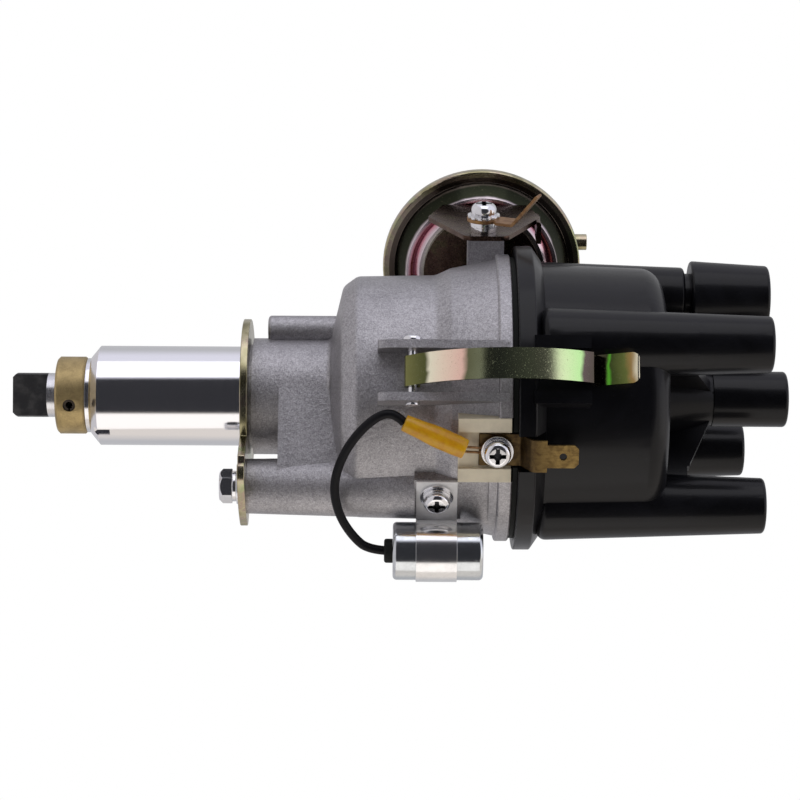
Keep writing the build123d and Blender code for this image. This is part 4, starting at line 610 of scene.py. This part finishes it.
def dressed(node, material, width=TURNED_EDGE, angle=SHARP_ANGLE, segments=2, welded=()):
    """Stands a softened copy in a node's place and gives it a finish."""
    piece = link(node + "_dressed", merged(node))
    for other in welded:
        weld(piece, other)
    soften(piece, width, angle, segments)
    piece.data.materials.append(material)
    return stand_in(piece, node, *welded)


def finished(node, material):
    """Gives a node that keeps its own mesh a finish."""
    mesh = frame["nodes"][node].data
    mesh.materials.clear()
    mesh.materials.append(material)


TURN_STEPS = 28
WIRE_SIDES = 8


def coil_tree():
    """A nodes tree that winds a wire into a spring along local z."""
    tree = bpy.data.node_groups.new("coil_spring", "GeometryNodeTree")
    face = tree.interface
    face.new_socket("Geometry", in_out="OUTPUT", socket_type="NodeSocketGeometry")
    face.new_socket("Geometry", in_out="INPUT", socket_type="NodeSocketGeometry")
    for name in ("Turns", "Radius", "Length", "Wire"):
        face.new_socket(name, in_out="INPUT", socket_type="NodeSocketFloat")
    face.new_socket("Finish", in_out="INPUT", socket_type="NodeSocketMaterial")
    nodes, wires = tree.nodes, tree.links
    given = nodes.new("NodeGroupInput")
    coil = nodes.new("GeometryNodeCurveSpiral")
    coil.inputs["Resolution"].default_value = TURN_STEPS
    section = nodes.new("GeometryNodeCurvePrimitiveCircle")
    section.inputs["Resolution"].default_value = WIRE_SIDES
    skin = nodes.new("GeometryNodeCurveToMesh")
    skin.inputs["Fill Caps"].default_value = True
    real = nodes.new("GeometryNodeRealizeInstances")
    paint = nodes.new("GeometryNodeSetMaterial")
    out = nodes.new("NodeGroupOutput")
    wires.new(given.outputs["Turns"], coil.inputs["Rotations"])
    wires.new(given.outputs["Radius"], coil.inputs["Start Radius"])
    wires.new(given.outputs["Radius"], coil.inputs["End Radius"])
    wires.new(given.outputs["Length"], coil.inputs["Height"])
    wires.new(given.outputs["Wire"], section.inputs["Radius"])
    wires.new(coil.outputs["Curve"], skin.inputs["Curve"])
    wires.new(section.outputs["Curve"], skin.inputs["Profile Curve"])
    wires.new(skin.outputs["Mesh"], real.inputs["Geometry"])
    wires.new(real.outputs["Geometry"], paint.inputs["Geometry"])
    wires.new(given.outputs["Finish"], paint.inputs["Material"])
    wires.new(paint.outputs["Geometry"], out.inputs["Geometry"])
    return tree


def set_inputs(modifier, **values):
    """Sets a nodes modifier's inputs by the identifiers of their sockets."""
    for item in modifier.node_group.interface.items_tree:
        if item.in_out == "INPUT" and item.name in values:
            modifier[item.identifier] = values[item.name]


def coil_spring(name, start, end, radius, wire, turns, material):
    """A wound spring from one point to another."""
    start, end = Vector(start), Vector(end)
    piece = link(name, bpy.data.meshes.new(name))
    nodes = piece.modifiers.new("coil", "NODES")
    nodes.node_group = bpy.data.node_groups.get("coil_spring") or coil_tree()
    length = (end - start).length - 2 * wire
    set_inputs(nodes, Turns=float(turns), Radius=radius - wire, Length=length, Wire=wire, Finish=material)
    settle(piece)
    along = (end - start).normalized()
    turn = along.to_track_quat("Z", "Y").to_matrix().to_4x4()
    piece.data.transform(Matrix.Translation(start + along * wire) @ turn)
    piece.data.shade_smooth()
    return piece


def polar(radius, angle, z=0.0):
    return Vector((radius * cos(angle), radius * sin(angle), z))


def unit_place(height, distance):
    """A point at the vacuum unit's level: height from the shaft, distance along the pull."""
    return polar(height, UNIT_ANGLE) + polar(distance, UNIT_ANGLE - pi / 2, UNIT_Z)


RECESS_REACH = 2.6 * MM
RECESS_LIFT = 0.02 * MM                           # clear of the face that is looked from
RECESS_LOOKS = 8
RECESS_SLANT = 1.2                                # sideways for each step straight out
RECESS_SHUT = 3                                   # looks that must meet the screw


def shade_recess(piece, material):
    """Paints shade on a screw's inward faces: those that the screw itself looks back at get the darker
    material.
    """
    mesh = piece.data
    mesh.materials.append(material)
    form = bmesh.new()
    form.from_mesh(mesh)
    form.faces.ensure_lookup_table()
    tree = BVHTree.FromBMesh(form)
    for face in form.faces:
        normal = face.normal
        side = normal.orthogonal().normalized()
        start = face.calc_center_median() + normal * RECESS_LIFT
        seen = 0
        for turn in range(RECESS_LOOKS):
            slant = Quaternion(normal, turn * 2 * pi / RECESS_LOOKS) @ side
            if tree.ray_cast(start, (normal + slant * RECESS_SLANT).normalized(), RECESS_REACH)[0]:
                seen += 1
        if seen >= RECESS_SHUT:
            # These faces get the painted recess shade.
            mesh.polygons[face.index].material_index = 1
    form.free()


def screwed(node):
    """A bright screw with painted shade in its driver recess."""
    shade_recess(dressed(node, shared("bright"), SCREW_EDGE), shared("recess"))


# Settings that a user would change

class DistributorSizes(bpy.types.PropertyGroup):
    """Colours, edge sizes and light of the dressed distributor"""

    aluminium: FloatVectorProperty(
        name="Casting", description="Colour of the cast housing", subtype="COLOR",
        default=(0.44, 0.43, 0.445), min=0.0, max=1.0)
    phenolic: FloatVectorProperty(
        name="Cap", description="Colour of the black cap moulding", subtype="COLOR",
        default=(0.0018, 0.0019, 0.0028), min=0.0, max=1.0)
    ivory: FloatVectorProperty(
        name="Terminal block", description="Colour of the moulded insulator", subtype="COLOR",
        default=(0.80, 0.73, 0.55), min=0.0, max=1.0)
    sleeve: FloatVectorProperty(
        name="Sleeve", description="Colour of the crimped terminal's sleeve", subtype="COLOR",
        default=(0.70, 0.365, 0.004), min=0.0, max=1.0)
    edge: FloatProperty(
        name="Edge radius", description="Rounding of cast and moulded edges", subtype="DISTANCE",
        default=MOULDED_EDGE, min=0.0)
    sheet_edge: FloatProperty(
        name="Sheet edge radius", description="Rounding of pressed sheet edges", subtype="DISTANCE",
        default=STAMPED_EDGE, min=0.0)
    key_light: FloatProperty(
        name="Key light", description="Power of the large soft light", subtype="POWER",
        default=0.6, min=0.0)
    lens: FloatProperty(
        name="Lens", description="Focal length of the camera", unit="CAMERA",
        default=111.6, min=10.0)
    coil_turns: IntProperty(
        name="Coil turns", description="Turns of each governor spring", default=12, min=3)


# Operators, one for each group of pieces

class DressHousing(bpy.types.Operator):
    """Finish the cast housing, its bushes and the clamp plate with its bolt"""

    bl_idname = "distributor.housing"
    bl_label = "Housing and clamp"

    def execute(self, context):
        dressed("housing", shared("cast"), sizes().edge * 2, segments=3)
        dressed("clamp_plate", shared("yellow"), sizes().sheet_edge * 2)
        dressed("clamp_bolt", shared("bright"))
        dressed("clamp_washers", shared("bright"), sizes().sheet_edge)
        bush = finish("bush", bronze, "sintered_bronze", (0.42, 0.27, 0.13))
        for node in ("lower_bush", "upper_bush"):
            finished(node, bush)
        return {"FINISHED"}


class DressShaft(bpy.types.Operator):
    """Finish the drive shaft, its collar and pin"""

    bl_idname = "distributor.shaft"
    bl_label = "Shaft and collar"

    def execute(self, context):
        dressed("drive_shaft", shared("steel"))
        collar = finish("collar", bronze, "collar_bronze", (0.50, 0.38, 0.18), 0.34)
        dressed("drive_collar", collar, HEAVY_EDGE)
        dressed("collar_pin", finish("pin", bronze, "dark_pin", (0.09, 0.075, 0.06), 0.4), FOIL_EDGE)
        dressed("thrust_washer", shared("bright"), FINE_EDGE)
        return {"FINISHED"}


WEIGHT_ANGLES = (20, 200)
SPRING_Z = middle_z("governor_springs")
PLATE_POST_R = 21.5 * MM
PLATE_POST_LAG = 40                               # degrees behind the weight's pin
FOOT_POST_R = 11.5 * MM
FOOT_POST_LAG = 75
POST_CLEARANCE = 1.5 * MM
GOVERNOR_COIL_R = 1.4 * MM
GOVERNOR_WIRE_R = 0.25 * MM


class DressGovernor(bpy.types.Operator):
    """Finish the advance weights and wind their springs"""

    bl_idname = "distributor.governor"
    bl_label = "Centrifugal advance"

    def execute(self, context):
        for node in ("governor_plate", "governor_weight_a", "governor_weight_b", "cam_screw"):
            dressed(node, shared("plain"), STAMPED_EDGE)
        cam = finish("cam", bright_plating, "ground_cam", (0.66, 0.66, 0.68), 0.12)
        dressed("cam_spindle", cam, STAMPED_EDGE)
        self.wind_springs()
        return {"FINISHED"}

    def wind_springs(self):
        """Two coils, each from a post of the plate to a post of the cam spindle's foot."""
        for angle in WEIGHT_ANGLES:
            start = polar(PLATE_POST_R, radians(angle - PLATE_POST_LAG), SPRING_Z)
            end = polar(FOOT_POST_R, radians(angle - FOOT_POST_LAG), SPRING_Z)
            clear = (end - start).normalized() * POST_CLEARANCE
            start, end = start + clear, end - clear
            coil = coil_spring(f"governor_coil_{angle}", start, end, GOVERNOR_COIL_R, GOVERNOR_WIRE_R,
                               sizes().coil_turns, shared("wire"))
            stretched(coil, "governor_springs")


class DressBreaker(bpy.types.Operator):
    """Finish the breaker plates, the arm and the contacts"""

    bl_idname = "distributor.breaker"
    bl_label = "Contact breaker"

    def execute(self, context):
        for node in ("base_plate", "breaker_plate", "breaker_arm", "fixed_contact", "contact_screw"):
            dressed(node, shared("plain"), FINE_EDGE)
        fibre = finish("fibre", moulded, "brown_fibre", (0.22, 0.10, 0.045), 0.5)
        dressed("rubbing_block", fibre, FINE_EDGE)
        dressed("arm_spring", shared("wire"), STRIP_EDGE)
        return {"FINISHED"}


BRUSH_WIRE_R = 0.2 * MM
BRUSH_TURNS = 7


class DressCap(bpy.types.Operator):
    """Finish the cap, its seal, inserts, brush and the rotor inside"""

    bl_idname = "distributor.cap"
    bl_label = "Cap and rotor"

    def execute(self, context):
        edge = sizes().edge
        dressed("cap", shared("phenolic"), edge, welded=("cap_towers",))
        dressed("cap_gasket", shared("rubber"), FINE_EDGE)
        dressed("rotor_arm", finish("rotor", moulded, "rotor_moulding", (0.05, 0.035, 0.03), 0.35), edge)
        for node in ("rotor_electrode", "plug_electrodes", "centre_contact"):
            dressed(node, shared("brass"), FINE_EDGE)
        dressed("carbon_brush", finish("carbon", rubber, "carbon", (0.02, 0.02, 0.022), 0.4), FINE_EDGE)
        low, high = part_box("brush_spring")
        top, foot = (0, 0, high.z), (0, 0, low.z)
        coil = coil_spring("brush_coil", foot, top, high.x, BRUSH_WIRE_R, BRUSH_TURNS, shared("wire"))
        stretched(coil, "brush_spring")
        return {"FINISHED"}


class DressClips(bpy.types.Operator):
    """Finish the two spring clips and their pins"""

    bl_idname = "distributor.clips"
    bl_label = "Spring clips"

    def execute(self, context):
        for index, side in enumerate(("front", "rear")):
            # Each clip's colour holds painted highlight and painted reflection as well as chromate hues.
            surface_tone = finish(f"clip_{side}", clip_film_and_painted_light, f"clip_film_{side}", (0.3 * index, 0.1, 0.018))
            dressed(f"{side}_clip", surface_tone, STAMPED_EDGE, CURL_ANGLE)
            dressed(f"{side}_clip_pin", shared("bright"), FINE_EDGE)
        return {"FINISHED"}


class DressTerminal(bpy.types.Operator):
    """Finish the low-tension terminal, its blade, ring and sleeve"""

    bl_idname = "distributor.terminal"
    bl_label = "Terminal"

    def execute(self, context):
        ivory = finish("ivory", moulded, "ivory_moulding", colour("ivory"))
        dressed("terminal_block", ivory, MOULDED_EDGE)
        dressed("terminal_blade", finish("blade", blade_brass), FINE_EDGE)
        copper = finish("copper", aged_brass, "bare_copper", (0.50, 0.29, 0.14), (0.20, 0.11, 0.05))
        dressed("ring_terminal", copper, FOIL_EDGE)
        dressed("crimp_sleeve", finish("sleeve", sleeve_plastic), MOULDED_EDGE)
        screwed("terminal_screw")
        dressed("terminal_washers", shared("bright"), FINE_EDGE)
        return {"FINISHED"}


LEAD_DIAMETER = 2.4 * MM


def beside_bowl(out, angle, z):
    """A point outside the bowl, out from its side and along it in millimetres."""
    return polar(BOWL_R + out * MM, radians(angle), z * MM)


LEAD_ROUTE = [
    Vector((40.697, -20.117, 41.3)) * MM, Vector((40.697, -20.117, 34.6)) * MM,
    beside_bowl(9.7, -31.5, 30.0), beside_bowl(6.9, -40.4, 26.4), beside_bowl(4.6, -52.5, 25.2),
    beside_bowl(4.1, -65.7, 27.6), beside_bowl(5.3, -76.5, 32.0), beside_bowl(6.5, -83.3, 37.2),
    beside_bowl(6.4, -83.9, 41.2), beside_bowl(6.16, -80.35, 43.6),
]


class DressCondenser(bpy.types.Operator):
    """Finish the condenser, its strap and grommet, and lay its lead"""

    bl_idname = "distributor.condenser"
    bl_label = "Condenser and lead"

    def execute(self, context):
        can = finish("can", bright_plating, "tinned_can", (0.68, 0.71, 0.73), 0.1, 0.25)
        dressed("condenser_can", can, FINE_EDGE)
        dressed("condenser_strap", finish("strap", strap_tin), FOIL_EDGE)
        dressed("condenser_grommet", shared("rubber"))
        screwed("condenser_screw")
        dressed("condenser_washers", shared("bright"), FINE_EDGE)
        self.lay_lead()
        return {"FINISHED"}

    def lay_lead(self):
        curve = bpy.data.curves.new("condenser_wire", "CURVE")
        curve.dimensions = "3D"
        spline = curve.splines.new("NURBS")
        spline.points.add(len(LEAD_ROUTE) - 1)
        for point, spot in zip(spline.points, LEAD_ROUTE):
            point.co = (*spot, 1.0)
        spline.order_u = 3
        spline.use_endpoint_u = True
        spline.resolution_u = 10
        curve.bevel_depth = LEAD_DIAMETER / 2
        curve.bevel_resolution = 5
        curve.use_fill_caps = True
        wire = link("condenser_wire", curve)
        curve.materials.append(finish("pvc", rubber, "black_sleeving", (0.003, 0.003, 0.004), 0.34))
        stand_in(wire, "condenser_lead")


SPRING_NEAR = 52.0 * MM                           # along the pull, from the shaft
SPRING_FAR = 63.2 * MM
VACUUM_COIL_R = 7.4 * MM
VACUUM_WIRE_R = 0.6 * MM
VACUUM_TURNS = 5


class DressVacuum(bpy.types.Operator):
    """Finish the vacuum advance unit, its bracket, screw and earth tag"""

    bl_idname = "distributor.vacuum"
    bl_label = "Vacuum advance unit"

    def execute(self, context):
        # The front shell's rings hold painted highlight and painted shade as well as chromate hues.
        dressed("vacuum_front_shell", finish("shell", shell_film))
        for node in ("vacuum_rear_shell", "vacuum_port"):
            dressed(node, shared("yellow"))
        dressed("vacuum_bracket", shared("dark"), HEAVY_EDGE)
        dressed("vacuum_rod", shared("dark"), FINE_EDGE)
        screwed("vacuum_screw")
        dressed("vacuum_washers", shared("bright"), FINE_EDGE)
        tag = finish("tag", aged_brass, "coppered_tag", (0.40, 0.235, 0.11), (0.22, 0.115, 0.055))
        dressed("earth_tab", tag, FINE_EDGE)
        finished("diaphragm", finish("cloth", rubber, "diaphragm_cloth", (0.05, 0.045, 0.04), 0.6))
        near, far = unit_place(UNIT_OFFSET, SPRING_NEAR), unit_place(UNIT_OFFSET, SPRING_FAR)
        coil = coil_spring("vacuum_coil", near, far, VACUUM_COIL_R, VACUUM_WIRE_R, VACUUM_TURNS,
                           shared("wire"))
        stretched(coil, "vacuum_spring")
        return {"FINISHED"}


TARGET = Vector((0, 0, 42.5)) * MM                # about the middle of the distributor
EYE = Vector((0.8, -676.0, 42.5)) * MM
EYE_ROLL = 0.35                                   # degrees
SENSOR_WIDTH = 36.0                               # in millimetres, as the lens is
NEAR_CLIP = 0.01
FLOOR_Z = -0.45
FLOOR_SIZE = 2.4
LIGHTS = [                                        # name, place, width, height, share of the key light
    ("key", (-0.62, -0.30, 0.10), 0.55, 0.5, 1.0),
    ("fill", (0.58, -0.32, 0.00), 0.45, 0.5, 0.5),
    ("end", (0.05, -0.15, 0.65), 0.35, 0.35, 0.3),
]


class DressStage(bpy.types.Operator):
    """Set the camera, the lights and the pale floor"""

    bl_idname = "distributor.stage"
    bl_label = "Stage"

    def execute(self, context):
        self.set_camera()
        self.set_world()
        self.set_lights()
        self.lay_floor()
        return {"FINISHED"}

    def set_camera(self):
        data = bpy.data.cameras.new("camera")
        data.lens = sizes().lens
        data.sensor_width = SENSOR_WIDTH
        data.clip_start = NEAR_CLIP
        camera = bpy.data.objects.new("camera", data)
        bpy.context.scene.collection.objects.link(camera)
        axes = Matrix(((0, -1, 0), (0, 0, -1), (1, 0, 0)))
        camera.matrix_world = (
            Matrix.Translation(EYE) @ axes.to_4x4() @ Matrix.Rotation(radians(EYE_ROLL), 4, "Z"))
        bpy.context.scene.camera = camera

    def set_world(self):
        """White for the camera; in reflections a white tent with a dark opening at the lens."""
        world = bpy.data.worlds.new("studio")
        world.use_nodes = True
        bpy.context.scene.world = world
        world.node_tree.nodes.clear()
        tent = Nodes(world.node_tree, "Generated")
        opening = 1 - tent.y.step(-0.80, -0.70)
        sides = tent.mix(tent.x.step(-0.3, 0.4), (0.84, 0.83, 0.93), (0.82, 0.76, 0.71))
        behind = tent.mix(tent.y.step(0.2, 0.75), sides, (0.55, 0.55, 0.57))
        walls = tent.mix(opening, behind, (0.035, 0.035, 0.04))
        seen = tent.node("ShaderNodeLightPath", {}, {}, "Is Camera Ray")
        glow = tent.node("ShaderNodeBackground", {}, {"Color": tent.mix(seen, walls, (1.0, 1.0, 1.0))})
        tent.node("ShaderNodeOutputWorld", {}, {"Surface": glow}, None)
        bpy.context.scene.view_settings.view_transform = "Standard"

    def set_lights(self):
        for name, spot, width, height, share in LIGHTS:
            data = bpy.data.lights.new(name, "AREA")
            data.shape = "RECTANGLE"
            data.size, data.size_y, data.energy = width, height, sizes().key_light * share
            lamp = bpy.data.objects.new(name, data)
            lamp.location = spot
            lamp.rotation_mode = "QUATERNION"
            lamp.rotation_quaternion = (TARGET - Vector(spot)).to_track_quat("-Z", "Y")
            bpy.context.scene.collection.objects.link(lamp)

    def lay_floor(self):
        form = bmesh.new()
        bmesh.ops.create_grid(form, x_segments=1, y_segments=1, size=FLOOR_SIZE / 2)
        mesh = bpy.data.meshes.new("floor")
        form.to_mesh(mesh)
        form.free()
        mesh.transform(Matrix.Translation((0, 0, FLOOR_Z)))
        floor = link("floor", mesh)
        look = Look("pale_floor")
        grain = look.noise(30 * MM, 2, 0.5)
        look.feed(Base_Color=look.mix(grain, (0.80, 0.80, 0.80), (0.84, 0.84, 0.84)),
                  Roughness=0.6 + grain * 0.1)
        mesh.materials.append(look.material)


class DistributorPanel(bpy.types.Panel):
    """Lists the settings and the steps that dress the distributor"""

    bl_idname = "VIEW3D_PT_distributor"
    bl_label = "Ignition distributor"
    bl_space_type = "VIEW_3D"
    bl_region_type = "UI"
    bl_category = "Distributor"

    def draw(self, context):
        for name in DistributorSizes.__annotations__:
            self.layout.prop(context.scene.distributor, name)
        for step in STEPS:
            self.layout.operator(step.bl_idname)


STEPS = (DressStage, DressHousing, DressShaft, DressGovernor, DressBreaker, DressCap, DressClips,
         DressTerminal, DressCondenser, DressVacuum)
CLASSES = (DistributorSizes, *STEPS, DistributorPanel)


def register():
    for each in CLASSES:
        bpy.utils.register_class(each)
    bpy.types.Scene.distributor = PointerProperty(type=DistributorSizes)


def unregister():
    del bpy.types.Scene.distributor
    for each in reversed(CLASSES):
        bpy.utils.unregister_class(each)


def main():
    register()
    for step in STEPS:
        group, name = step.bl_idname.split(".")
        getattr(getattr(bpy.ops, group), name)()


if __name__ == "__main__":
    main()
